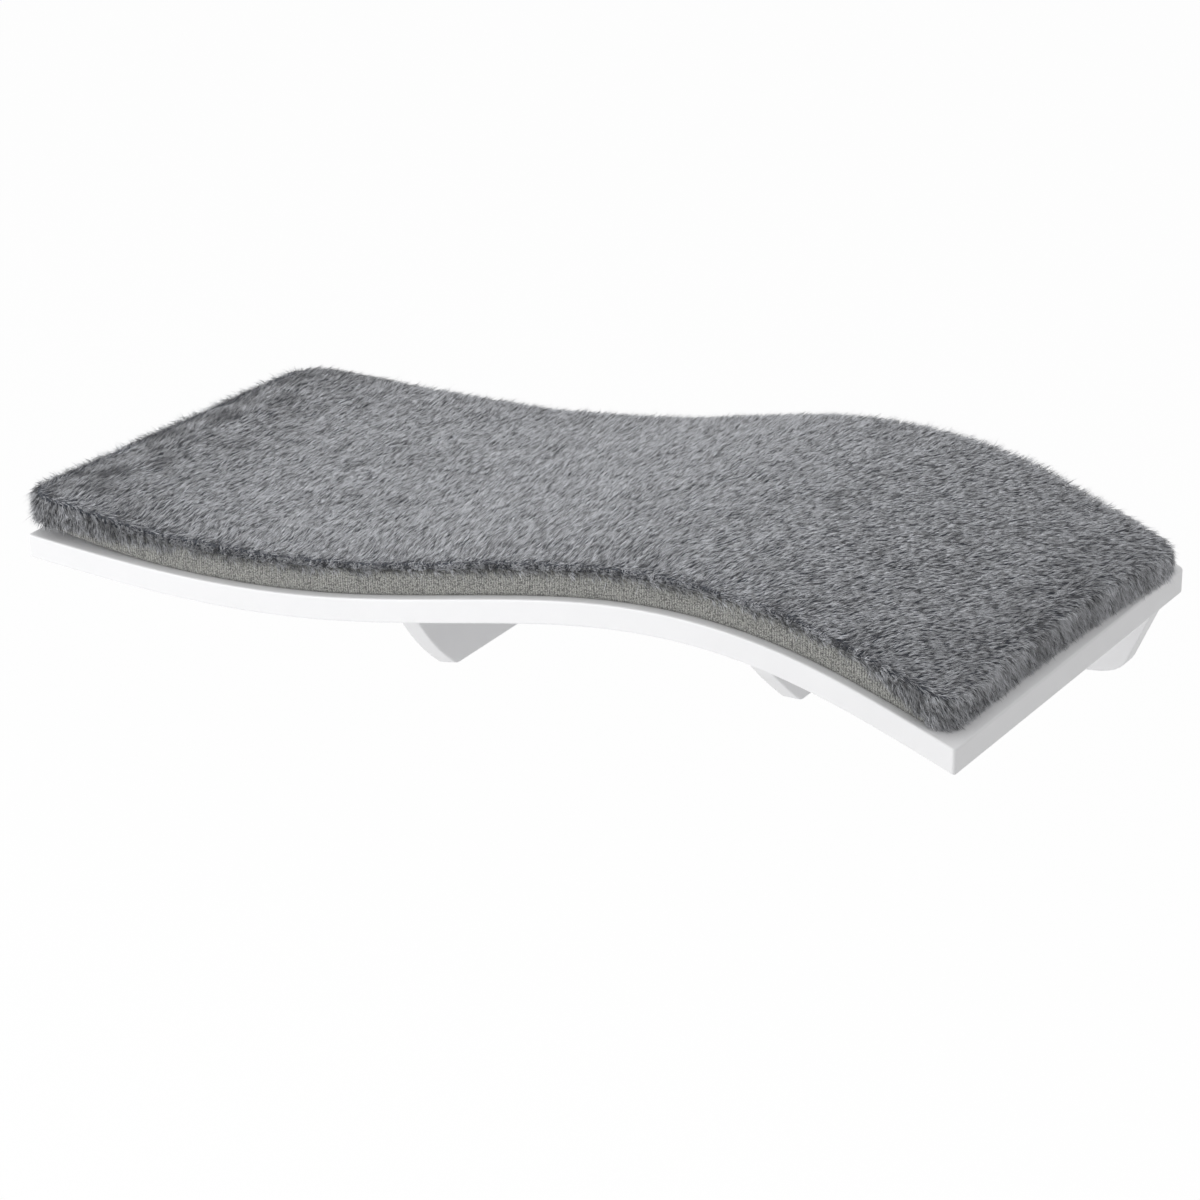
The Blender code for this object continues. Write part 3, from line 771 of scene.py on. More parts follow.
@dataclass
class ScrewSet:
    """Countersunk wood screws with a cross recess and a rolled thread."""

    sides: int = 24
    head_radius: float = 0.0035
    head_rim: float = 0.0003
    head_height: float = 0.0025
    core_radius: float = 0.0012
    thread_radius: float = 0.00172
    thread_pitch: float = 0.0022
    thread_rings: int = 96
    plain_length: float = 0.010
    tip_length: float = 0.005
    recess_width: float = 0.0009
    recess_reach: float = 0.0021
    recess_depth: float = 0.0014
    recess_floor: float = 0.45
    recess_mouth: float = 1.3
    recess_cells: int = 6
    rim_share: float = 0.95
    sharp_angle: float = math.radians(35)
    spin_step: float = 0.7
    finish: ZincPlate = ZincPlate()

    def axis(self, node: str) -> tuple[Vector, Vector, float]:
        """Reads a screw's place from its node.

        Args:
            node: The node's name.

        Returns:
            The head's centre, the direction out of the head, and the screw's length.
        """
        points = points_of(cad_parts[node].data)
        middle = points.mean(0)
        along = np.linalg.svd(points - middle)[2][0]
        heights = (points - middle) @ along
        spread = np.linalg.norm(points - middle - np.outer(heights, along), axis=1)
        if heights[spread.argmax()] < 0.0:
            along, heights = -along, -heights
        rim = points[spread > self.head_radius * self.rim_share]
        centre = rim.mean(0)
        length = (centre - middle) @ along - heights.min()
        return Vector(centre), Vector(along), float(length)

    def body(self, length: float) -> bmesh.types.BMesh:
        """The head and shank turned about Z, head up at the origin, with the thread rolled in.

        Args:
            length: The screw's length.

        Returns:
            The shape, still without its recess.
        """
        bm = bmesh.new()
        start = -self.head_height - self.plain_length
        profile = [(0.0, 0.0), (self.head_radius, 0.0), (self.head_radius, -self.head_rim),
                   (self.thread_radius, -self.head_height), (self.thread_radius, start)]
        for ring in range(1, self.thread_rings):
            profile.append((self.core_radius, start + (-start - length) * ring / self.thread_rings))
        profile.append((0.0, -length))
        verts = [bm.verts.new((radius, 0.0, height)) for radius, height in profile]
        edges = [bm.edges.new(pair) for pair in zip(verts, verts[1:])]
        bmesh.ops.spin(bm, geom=verts + edges, cent=(0, 0, 0), axis=(0, 0, 1), angle=math.tau,
                       steps=self.sides, use_merge=True, use_normal_flip=False, use_duplicate=False)
        bmesh.ops.remove_doubles(bm, verts=bm.verts, dist=MERGE)
        for vert in bm.verts:
            self.roll(vert, start, length)
        return bm

    def roll(self, vert: bmesh.types.BMVert, start: float, length: float) -> None:
        """Moves a point of the shank out to the thread's crest or in to its core."""
        reach = math.hypot(vert.co.x, vert.co.y)
        if vert.co.z > start - MERGE or reach < MERGE:
            return
        turn = math.atan2(vert.co.y, vert.co.x) / math.tau
        crest = abs(((vert.co.z / self.thread_pitch - turn) % 1.0) - 0.5) * 2.0
        radius = self.core_radius + (self.thread_radius - self.core_radius) * crest ** 3
        radius *= min(1.0, (vert.co.z + length) / self.tip_length)
        vert.co.x *= radius / reach
        vert.co.y *= radius / reach

    def recess(self) -> bpy.types.Object:
        """The cross-shaped cutter for the head, narrower at its floor."""
        bm = bmesh.new()
        for quarter in range(2):
            arm = bmesh.ops.create_cube(bm, size=1.0)["verts"]
            size = Vector((2 * self.recess_reach, self.recess_width, 2 * self.recess_depth))
            turn = Matrix.Rotation(quarter * math.pi / 2, 4, "Z")
            for vert in arm:
                narrow = self.recess_floor if vert.co.z < 0.0 else self.recess_mouth
                vert.co = Vector((vert.co.x * size.x * narrow, vert.co.y * size.y, vert.co.z * size.z))
            bmesh.ops.transform(bm, matrix=turn, verts=arm)
        cutter = finished(bm, "recess_cutter")
        joined = cutter.modifiers.new("joined", "REMESH")
        joined.mode = "VOXEL"
        joined.voxel_size = self.recess_width / self.recess_cells
        settle(cutter)
        return cutter

    def model(self, length: float) -> bpy.types.Mesh:
        """Models a screw with its recess.

        Args:
            length: The screw's length.

        Returns:
            Its mesh, head up at the origin.
        """
        screw = finished(self.body(length), "wood_screw")
        cut_out(screw, self.recess())
        mesh = screw.data
        bpy.data.objects.remove(screw)
        smooth(mesh, self.sharp_angle)
        return mesh

    def build(self) -> None:
        """Sets a screw in each node's place and dresses it."""
        material = self.finish.make("zinc")
        model = None
        for number, node in enumerate(nodes_with("screw")):
            centre, outward, length = self.axis(node)
            model = model or self.model(length)
            turn = Vector((0, 0, 1)).rotation_difference(outward).to_matrix().to_4x4()
            spin = Matrix.Rotation(self.spin_step * number, 4, "Z")
            mesh = model.copy()
            mesh.transform(Matrix.Translation(centre) @ turn @ spin)
            screw = placed(f"{node}_turned", mesh)
            coat(screw, material)
            show(screw, Body.SHELF, node)


# Pad


@dataclass
class PadBed:
    """The curve that the pad's underside lies on, read from the frame's base cloth.

    The pad in use has settled: its front left corner curls up further than the rest of its left end, its
    front side has spread towards the board's edge, its rear left corner is drawn in, its rear right corner
    reaches further out, and it is pressed thinner at its rear, over the wave's crest and at the right.
    """

    node: str = "pad_base_cloth"
    ring: str = "pad_side_band"
    step: float = 0.002
    reach: float = 0.03
    smoothing: int = 9
    end_span: int = 6
    rounds: int = 4
    curl_length: float = 0.100
    front_curl: float = 0.0030
    rear_drop: float = 0.0015
    skew_length: float = 0.260
    front_spread: float = 0.0045
    left_slip: float = 0.0035
    rear_tuck: float = 0.0105
    right_tuck: float = 0.0020
    right_spread: float = 0.0110
    right_length: float = 0.150
    firm: float = 0.0045
    crest_press: float = 0.27
    crest_place: float = 0.012
    crest_reach: float = 0.060
    corner_press: float = 0.43
    corner_place: float = 0.195
    corner_reach: float = 0.055
    press_depth: float = 0.110
    level: float = 0.0003
    left: float = field(init=False)
    right: float = field(init=False)
    front: float = field(init=False)
    back: float = field(init=False)
    xs: np.ndarray = field(init=False)
    zs: np.ndarray = field(init=False)
    slopes: np.ndarray = field(init=False)

    def __post_init__(self) -> None:
        """Samples the underside and carries it straight on past its ends."""
        low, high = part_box(self.node)
        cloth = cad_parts[self.node]
        across = (low[1] + high[1]) / 2
        seen = np.arange(low[0] + self.step, high[0] - self.step, self.step)
        found = np.array([cloth.ray_cast((x, across, low[2] - self.reach), (0, 0, 1))[1][2] for x in seen])
        self.xs = np.arange(low[0] - self.reach, high[0] + self.reach, self.step)
        heights = np.interp(self.xs, seen, found)
        for end, inner in ((0, self.end_span), (-1, -1 - self.end_span)):
            slope = (found[end] - found[inner]) / (seen[end] - seen[inner])
            past = self.xs < seen[0] if end == 0 else self.xs > seen[-1]
            heights[past] = found[end] + slope * (self.xs[past] - seen[end])
        kernel = np.hanning(self.smoothing + 2)[1:-1]
        padded = np.pad(heights, self.smoothing // 2, mode="reflect", reflect_type="odd")
        self.zs = np.convolve(padded, kernel / kernel.sum(), mode="valid")
        self.slopes = np.gradient(self.zs, self.step)
        self.left, self.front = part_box(self.ring)[0][:2]
        self.right, self.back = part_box(self.ring)[1][:2]

    @property
    def middle(self) -> tuple[float, float]:
        """The pad's middle in plan."""
        return (self.left + self.right) / 2, (self.front + self.back) / 2

    @property
    def span(self) -> tuple[float, float]:
        """The pad's length and depth."""
        return self.right - self.left, self.back - self.front

    def gaps(self, x: np.ndarray, y: np.ndarray) -> np.ndarray:
        """How far places in plan are from the left, right, front and rear side."""
        return np.column_stack((x - self.left, self.right - x, y - self.front, self.back - y))

    def forward(self, y: np.ndarray) -> np.ndarray:
        """How far forward places are, from 0 at the rear side to 1 at the front."""
        return np.clip((self.back - y) / (self.back - self.front), 0.0, 1.0)

    def curl(self, x: np.ndarray, y: np.ndarray) -> np.ndarray:
        """How much higher the settled pad lies than its solid, over places in plan."""
        near = nearness(x - self.left, self.curl_length) ** 2
        front = self.forward(y)
        return near * (self.front_curl * front ** 3 - self.rear_drop * (1.0 - front ** 2))

    def slip(self, x: np.ndarray, y: np.ndarray) -> np.ndarray:
        """How far the settled pad has slipped in plan, over places in plan."""
        near = nearness(x - self.left, self.skew_length) ** 2
        far = nearness(self.right - x, self.right_length) ** 2
        front = self.forward(y)
        sideways = near * (self.rear_tuck * (1.0 - front) ** 2 - self.left_slip * front ** 2)
        sideways = sideways + far * (self.right_spread * (1.0 - front) ** 4 - self.right_tuck)
        return np.column_stack((sideways, -self.front_spread * front ** 2, np.zeros(len(x))))

    def pressed(self, x: np.ndarray, y: np.ndarray, offset: np.ndarray) -> np.ndarray:
        """Presses the settled pad thinner, and leaves its base as it is.

        Args:
            x: Places along the pad.
            y: Places across it.
            offset: The points' distances from the underside.

        Returns:
            The distances once pressed.
        """
        crest = self.crest_press * np.exp(-((x - self.crest_place) / self.crest_reach) ** 2)
        corner = np.clip((x - self.corner_place) / self.corner_reach, 0.0, 1.0)
        corner = self.corner_press * corner ** 2 * (3.0 - 2.0 * corner)
        rear = nearness(self.back - y, self.press_depth) ** 2
        return offset - np.maximum(offset - self.firm, 0.0) * (crest + corner) * rear

    def bend(self, points: np.ndarray, settled: bool = True) -> np.ndarray:
        """Bends flat points: x and y stay, and z, a distance from the underside, becomes a height.

        Args:
            points: The flat points.
            settled: Whether they also take the settled pad's curl, slip and pressed places.

        Returns:
            The bent points.
        """
        x, y, offset = points.T
        if settled:
            offset = self.pressed(x, y, offset)
        offset = offset - self.level
        foot = x.copy()
        for _ in range(self.rounds):
            slope = np.interp(foot, self.xs, self.slopes)
            foot = x + offset * slope / np.hypot(1.0, slope)
        slope = np.interp(foot, self.xs, self.slopes)
        height = np.interp(foot, self.xs, self.zs) + offset / np.hypot(1.0, slope)
        if not settled:
            return np.column_stack((x, y, height))
        return np.column_stack((x, y, height + self.curl(x, y))) + self.slip(x, y)


@dataclass
class PadPlan:
    """The pad seen from above: round corners, and a rear side drawn in between them."""

    bed: PadBed
    corner_radius: float = 0.016
    draw_in: float = 0.003
    slice_step: float = 0.008
    corner_points: int = 19
    corner_segments: int = 10
    outline_points: int = 1601
    probe: float = 0.001
    rim_angle: float = math.radians(60)
    sharp_angle: float = math.radians(50)

    def drawn_in(self, points: np.ndarray) -> np.ndarray:
        """Draws the rear side in, most at mid length.

        Args:
            points: The pad's points, flat.

        Returns:
            The points once drawn in.
        """
        (middle_x, middle_y), (length, depth) = self.bed.middle, self.bed.span
        swing = np.cos(math.pi * (points[:, 0] - middle_x) / length)
        share = 2.0 * self.draw_in / depth * swing
        drawn = points.copy()
        drawn[:, 1] -= np.maximum(points[:, 1] - middle_y, 0.0) * share
        return drawn

    def outline(self) -> tuple[np.ndarray, np.ndarray]:
        """The band's outer line in plan, a closed walk from mid front to the right and round.

        Returns:
            The distance walked at each point, and the points.
        """
        bed, radius = self.bed, self.corner_radius
        left, right = bed.left + radius, bed.right - radius
        front, back = bed.front + radius, bed.back - radius
        points = []
        corners = ((right, front, -90.0), (right, back, 0.0), (left, back, 90.0), (left, front, 180.0))
        for x, y, start in corners:
            for angle in np.radians(np.linspace(start, start + 90.0, self.corner_points)):
                points.append((x + radius * math.cos(angle), y + radius * math.sin(angle), 0.0))
        middle = (bed.middle[0], bed.front, 0.0)
        walk = np.array([middle] + points + [middle])
        walked = distances(walk)
        even = np.linspace(0.0, walked[-1], self.outline_points)
        walk = self.drawn_in(places_at(even, walked, walk))
        return distances(walk), walk[:, :2]

    def beside(self, at: np.ndarray) -> tuple[np.ndarray, np.ndarray]:
        """Places on the outline.

        Args:
            at: Distances walked along it.

        Returns:
            The places in plan, and the outward directions there.
        """
        walked, walk = self.outline()
        spot = places_at(at, walked, walk)
        ahead, behind = (places_at((at + step) % walked[-1], walked, walk)
                         for step in (self.probe, -self.probe))
        tangent = unit(ahead - behind)
        return spot, np.column_stack((tangent[:, 1], -tangent[:, 0]))

    def slab(self, inset: float, low: float, high: float, step: float = 0.0) -> bmesh.types.BMesh:
        """A flat slab of the pad's outline, sliced both ways so that it can bend.

        Args:
            inset: How far inside the band's outer face it ends.
            low: Its lower face, from the pad's underside.
            high: Its upper face.
            step: The slices' width, or the plan's own if it is 0.

        Returns:
            The slab, not yet drawn in or bent.
        """
        length, depth = self.bed.span
        size = (length - 2 * inset, depth - 2 * inset, high - low)
        bm = block(size, (*self.bed.middle, (low + high) / 2))
        upright = [e for e in bm.edges if abs(e.verts[0].co.z - e.verts[1].co.z) > MERGE]
        round_edges(bm, upright, self.corner_radius - inset, self.corner_segments)
        return self.sliced(bm, step or self.slice_step)

    def sliced(self, bm: bmesh.types.BMesh, step: float) -> bmesh.types.BMesh:
        """Cuts a slab across and along at equal places.

        Args:
            bm: The slab.
            step: About how far apart the cuts are.

        Returns:
            The same slab.
        """
        for axis in (0, 1):
            low = min(v.co[axis] for v in bm.verts)
            high = max(v.co[axis] for v in bm.verts)
            count = round((high - low) / step)
            normal = Vector((0, 0, 0))
            normal[axis] = 1.0
            for cut in range(1, count):
                split(bm, normal * (low + (high - low) * cut / count), normal)
        return bm

    def rounded(self, bm: bmesh.types.BMesh, width: float, segments: int) -> bmesh.types.BMesh:
        """Rounds the upper and lower rim of a slab."""
        rim = [e for e in bm.edges if len(e.link_faces) == 2 and e.calc_face_angle() > self.rim_angle]
        round_edges(bm, rim, width, segments)
        return bm

    def laid(self, bm: bmesh.types.BMesh, name: str) -> bpy.types.Object:
        """Draws a flat slab in, bends it to the bed and makes it an object.

        Args:
            bm: The slab; it is freed.
            name: The piece's name.

        Returns:
            The piece.
        """
        piece = finished(bm, name)
        move_points(piece.data, self.bed.bend(self.drawn_in(points_of(piece.data))))
        smooth(piece.data, self.sharp_angle)
        return piece


@dataclass
class TapeSet:
    """The hook patches on the board and the loop patches under the pad."""

    bed: PadBed
    pitch: float = 0.0016
    backing: float = 0.0004
    margin: float = 0.0012
    seed: int = 5
    hook: Stalk = Stalk(4, (0.0, 0.3, 0.5, 0.7, 0.85, 1.0), (0.10, 0.085, 0.08, 0.08, 0.07, 0.04), 3.6, 0.35)
    loop: Stalk = Stalk(3, (0.0, 0.2, 0.4, 0.6, 0.8, 1.0), (0.05, 0.05, 0.05, 0.05, 0.05, 0.05), 4.2, 0.1)
    hook_size: float = 0.00118
    loop_size: float = 0.0016
    disorder: float = 0.12
    turn_spread: float = 0.5
    root_share: float = 0.8
    sizes: tuple[float, float] = (0.92, 1.0)
    shades: tuple[float, float] = (0.3, 0.7)
    ray_start: float = 0.02
    hook_finish: Nylon = Nylon((0.03, 0.03, 0.032), (0.055, 0.055, 0.06), 0.42)
    loop_finish: Nylon = Nylon((0.045, 0.045, 0.048), (0.09, 0.09, 0.095), 0.75)

    def strip(self, node: str, facing: float) -> bpy.types.Object:
        """The patch's backing: its node's own slab with everything but the base thickness taken off.

        Args:
            node: The patch's node.
            facing: 1 where the stalks point up, -1 where they point down.

        Returns:
            The backing, a thin bent slab.
        """
        bm = bmesh.new()
        bm.from_mesh(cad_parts[node].data)
        bmesh.ops.remove_doubles(bm, verts=bm.verts, dist=MERGE)
        bm.normal_update()
        thickness = self.thickness(bm)
        moving = [v for v in bm.verts if v.normal.z * facing > 0.0]
        for vert in moving:
            slope = float(np.interp(vert.co.x, self.bed.xs, self.bed.slopes))
            vert.co.z -= facing * (thickness - self.backing) * math.hypot(1.0, slope)
        return finished(bm, node + "_tape")

    def thickness(self, bm: bmesh.types.BMesh) -> float:
        """The slab's thickness, from its volume and the area of its upper side."""
        area = sum(f.calc_area() for f in bm.faces if f.normal.z > 0.5)
        return bm.calc_volume() / area

    def build(self) -> None:
        """Makes and dresses every patch."""
        sorts = (("hook", 1.0, self.hook, self.hook_size, self.hook_finish, Slot.HOOK, Body.SHELF),
                 ("loop", -1.0, self.loop, self.loop_size, self.loop_finish, Slot.LOOP, Body.PAD))
        draw = np.random.default_rng(self.seed)
        for sort, facing, stalk, size, finish, slot, body in sorts:
            planting = Planting([stalk.build(sort)])
            material = finish.make(slot.value)
            for node in nodes_with(sort + "_patch"):
                patch = self.strip(node, facing)
                stalks = self.stalks(planting, node, facing, size, draw)
                joined = self.joined(patch, stalks)
                coat(joined, material)
                show(joined, body, node)
            planting.clear()

    def stalks(self, planting: Planting, node: str, facing: float, size: float,
               draw: np.random.Generator) -> bpy.types.Object:
        """The hooks or loops of one patch, in rows with a little disorder.

        Args:
            planting: The planting that holds their model.
            node: The patch's node.
            facing: 1 where they point up, -1 where they point down.
            size: Their length.
            draw: The seeded generator.

        Returns:
            One piece of all of them.
        """
        low, high = (np.array(corner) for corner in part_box(node))
        xs = np.arange(low[0] + self.margin, high[0] - self.margin + MERGE, self.pitch)
        ys = np.arange(low[1] + self.margin, high[1] - self.margin + MERGE, self.pitch)
        places = np.array([(x, y) for x in xs for y in ys])
        places += draw.uniform(-self.disorder, self.disorder, places.shape) * self.pitch
        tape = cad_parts[node]
        start = low[2] - self.ray_start if facing > 0 else high[2] + self.ray_start
        roots = np.array([tape.ray_cast((x, y, start), (0, 0, facing))[1] for x, y in places])
        slopes = np.interp(roots[:, 0], self.bed.xs, self.bed.slopes)
        ups = unit(np.column_stack((-slopes, np.zeros(len(slopes)), np.ones(len(slopes))))) * facing
        roots = roots + ups * self.backing * self.root_share
        count = len(roots)
        heading = draw.uniform(-self.turn_spread, self.turn_spread, count)
        heading = heading + np.where(np.arange(count) % 2, 0.0, math.pi)
        leaning = np.column_stack((np.cos(heading), -np.sin(heading) * facing, np.zeros(count)))
        reach = size * draw.uniform(*self.sizes, count)
        shade = draw.uniform(*self.shades, count)
        return planting.plant(node + "_stalks", roots, turns_to(ups, leaning), reach, shade, np.zeros(count))

    def joined(self, first: bpy.types.Object, second: bpy.types.Object) -> bpy.types.Object:
        """Makes one piece of two.

        Args:
            first: A patch's backing; it is removed.
            second: Its stalks; they are removed.

        Returns:
            The piece, under the backing's name.
        """
        bm = bmesh.new()
        bm.from_mesh(first.data)
        bm.from_mesh(second.data)
        name = first.name
        for part in (first, second):
            bpy.data.objects.remove(part)
        mesh = bpy.data.meshes.new(name)
        bm.to_mesh(mesh)
        bm.free()
        return placed(name, mesh)


@dataclass
class PadLayers:
    """The pad's base cloth and its foam core."""

    plan: PadPlan
    inset: float = 0.0033
    base_low: float = 0.0003
    base_high: float = 0.0043
    foam_low: float = 0.0046
    foam_high: float = 0.0153
    base_round: tuple[float, int] = (0.0008, 3)
    foam_round: tuple[float, int] = (0.002, 4)
    pocket_room: float = 0.001
    pocket_top: float = 0.0033
    pocket_height: float = 0.0053
    base_finish: Cloth = Cloth((0.33, 0.33, 0.34), (0.16, 0.16, 0.17), 0.0009, 0.0002)
    foam_finish: CellFoam = CellFoam()

    def pocket(self, node: str) -> bpy.types.Object:
        """Models the cutter that makes room under the base cloth for one loop patch.

        Args:
            node: The patch's node.

        Returns:
            The cutter, bent as the solids are.
        """
        low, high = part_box(node)
        room = 2 * self.pocket_room
        size = (high[0] - low[0] + room, high[1] - low[1] + room, self.pocket_height)
        bm = block(size, ((low[0] + high[0]) / 2, (low[1] + high[1]) / 2, self.pocket_top - size[2] / 2))
        cutter = finished(self.plan.sliced(bm, self.plan.slice_step), node + "_pocket")
        move_points(cutter.data, self.plan.bed.bend(points_of(cutter.data), settled=False))
        return cutter

    def build(self) -> None:
        """Makes and dresses both layers."""
        plan = self.plan
        slab = plan.slab(self.inset, self.base_low, self.base_high)
        base = plan.laid(plan.rounded(slab, *self.base_round), "pad_base")
        for node in nodes_with("loop_patch"):
            cut_out(base, self.pocket(node))
        coat(base, self.base_finish.make("base_cloth"))
        show(base, Body.PAD, "pad_base_cloth")
        slab = plan.slab(self.inset, self.foam_low, self.foam_high)
        foam = plan.laid(plan.rounded(slab, *self.foam_round), "pad_foam")
        coat(foam, self.foam_finish.make("foam"))
        show(foam, Body.PAD, "pad_foam_core")


@dataclass
class SideBand:
    """The rib-knit band round the pad, with its ribs in relief."""

    plan: PadPlan
    low: float = 0.0003
    high: float = 0.0154
    thickness: float = 0.0029
    rib_pitch: float = 0.00155
    rib_depth: float = 0.0004
    columns_per_rib: int = 4
    rows: int = 9
    stitch: float = 0.0013
    bulge: float = 0.0006
    edge_round: float = 0.0007
    edge_reach: float = 0.0012
    rib_sizes: tuple[float, float] = (0.75, 1.15)
    ridge_power: float = 1.5
    stitch_swing: float = 0.15
    seam_merge: float = 1e-5
    seed: int = 11
    finish: RibKnit = RibKnit()

    def build(self) -> None:
        """Models the ring and dresses it."""
        girth = float(self.plan.outline()[0][-1])
        ribs = round(girth / self.rib_pitch)
        columns = ribs * self.columns_per_rib
        bm = bmesh.new()
        bmesh.ops.create_grid(bm, x_segments=columns, y_segments=self.rows + 2, size=0.5)
        band = finished(bm, "pad_rib_band")
        grid = points_of(band.data) + 0.5
        around = grid[:, 0]
        row = np.rint(grid[:, 1] * (self.rows + 2)).astype(int)
        spot, outward = self.plan.beside(around * girth)
        share = np.clip(row / (self.rows - 1), 0.0, 1.0)
        rise = self.low + (self.high - self.low) * share
        rim = np.minimum(rise - self.low, self.high - rise)
        out = self.bulge * np.sin(math.pi * share) - self.edge_round * nearness(rim, self.edge_reach) ** 2
        out += self.rib_relief(around * ribs, rise)
        inner = (row == self.rows) | (row == self.rows + 1)
        out = np.where(inner, -self.thickness, out)
        height = np.where(row == self.rows, self.high, np.where(row > self.rows, self.low, rise))
        first, last = row == 0, row == self.rows + 2
        order = np.argsort(around[first])
        out[last] = np.interp(around[last], around[first][order], out[first][order])
        flat = np.column_stack((spot + outward * out[:, None], height))
        move_points(band.data, self.plan.bed.bend(flat))
        self.map_stitches(band.data, around * ribs, rise / self.stitch)
        self.close(band)
        coat(band, self.finish.make("knit_band"))
        show(band, Body.PAD, "pad_side_band")

    def rib_relief(self, ribs: np.ndarray, rise: np.ndarray) -> np.ndarray:
        """How far each point of the outer face stands out.

        Args:
            ribs: Where each point is around the ring, counted in ribs.
            rise: How high it is.

        Returns:
            The relief.
        """
        draw = np.random.default_rng(self.seed)
        uneven = draw.uniform(*self.rib_sizes, int(ribs.max()) + 2)
        ridge = np.abs(np.cos(math.pi * ribs)) ** self.ridge_power
        wave = np.cos(math.tau * rise / self.stitch + np.floor(ribs) * math.pi)
        stitch = 1.0 - self.stitch_swing + self.stitch_swing * wave
        return self.rib_depth * (ridge * stitch * uneven[np.rint(ribs).astype(int)] - 0.5)

    def map_stitches(self, mesh: bpy.types.Mesh, ribs: np.ndarray, stitches: np.ndarray) -> None:
        """Writes the map that counts ribs and stitches."""
        corners = rows_of(mesh.loops, "vertex_index", 1, np.int32)[:, 0]
        layer = mesh.uv_layers.new(name="knit")
        layer.data.foreach_set("uv", np.column_stack((ribs, stitches))[corners].astype(np.float32).ravel())

    def close(self, band: bpy.types.Object) -> None:
        """Joins the ring's two seams, where their points lie together.

        Args:
            band: The ring.
        """
        bm = bmesh.new()
        bm.from_mesh(band.data)
        bmesh.ops.remove_doubles(bm, verts=bm.verts, dist=self.seam_merge)
        bmesh.ops.recalc_face_normals(bm, faces=bm.faces)
        bm.to_mesh(band.data)
        bm.free()
        band.data.shade_smooth()


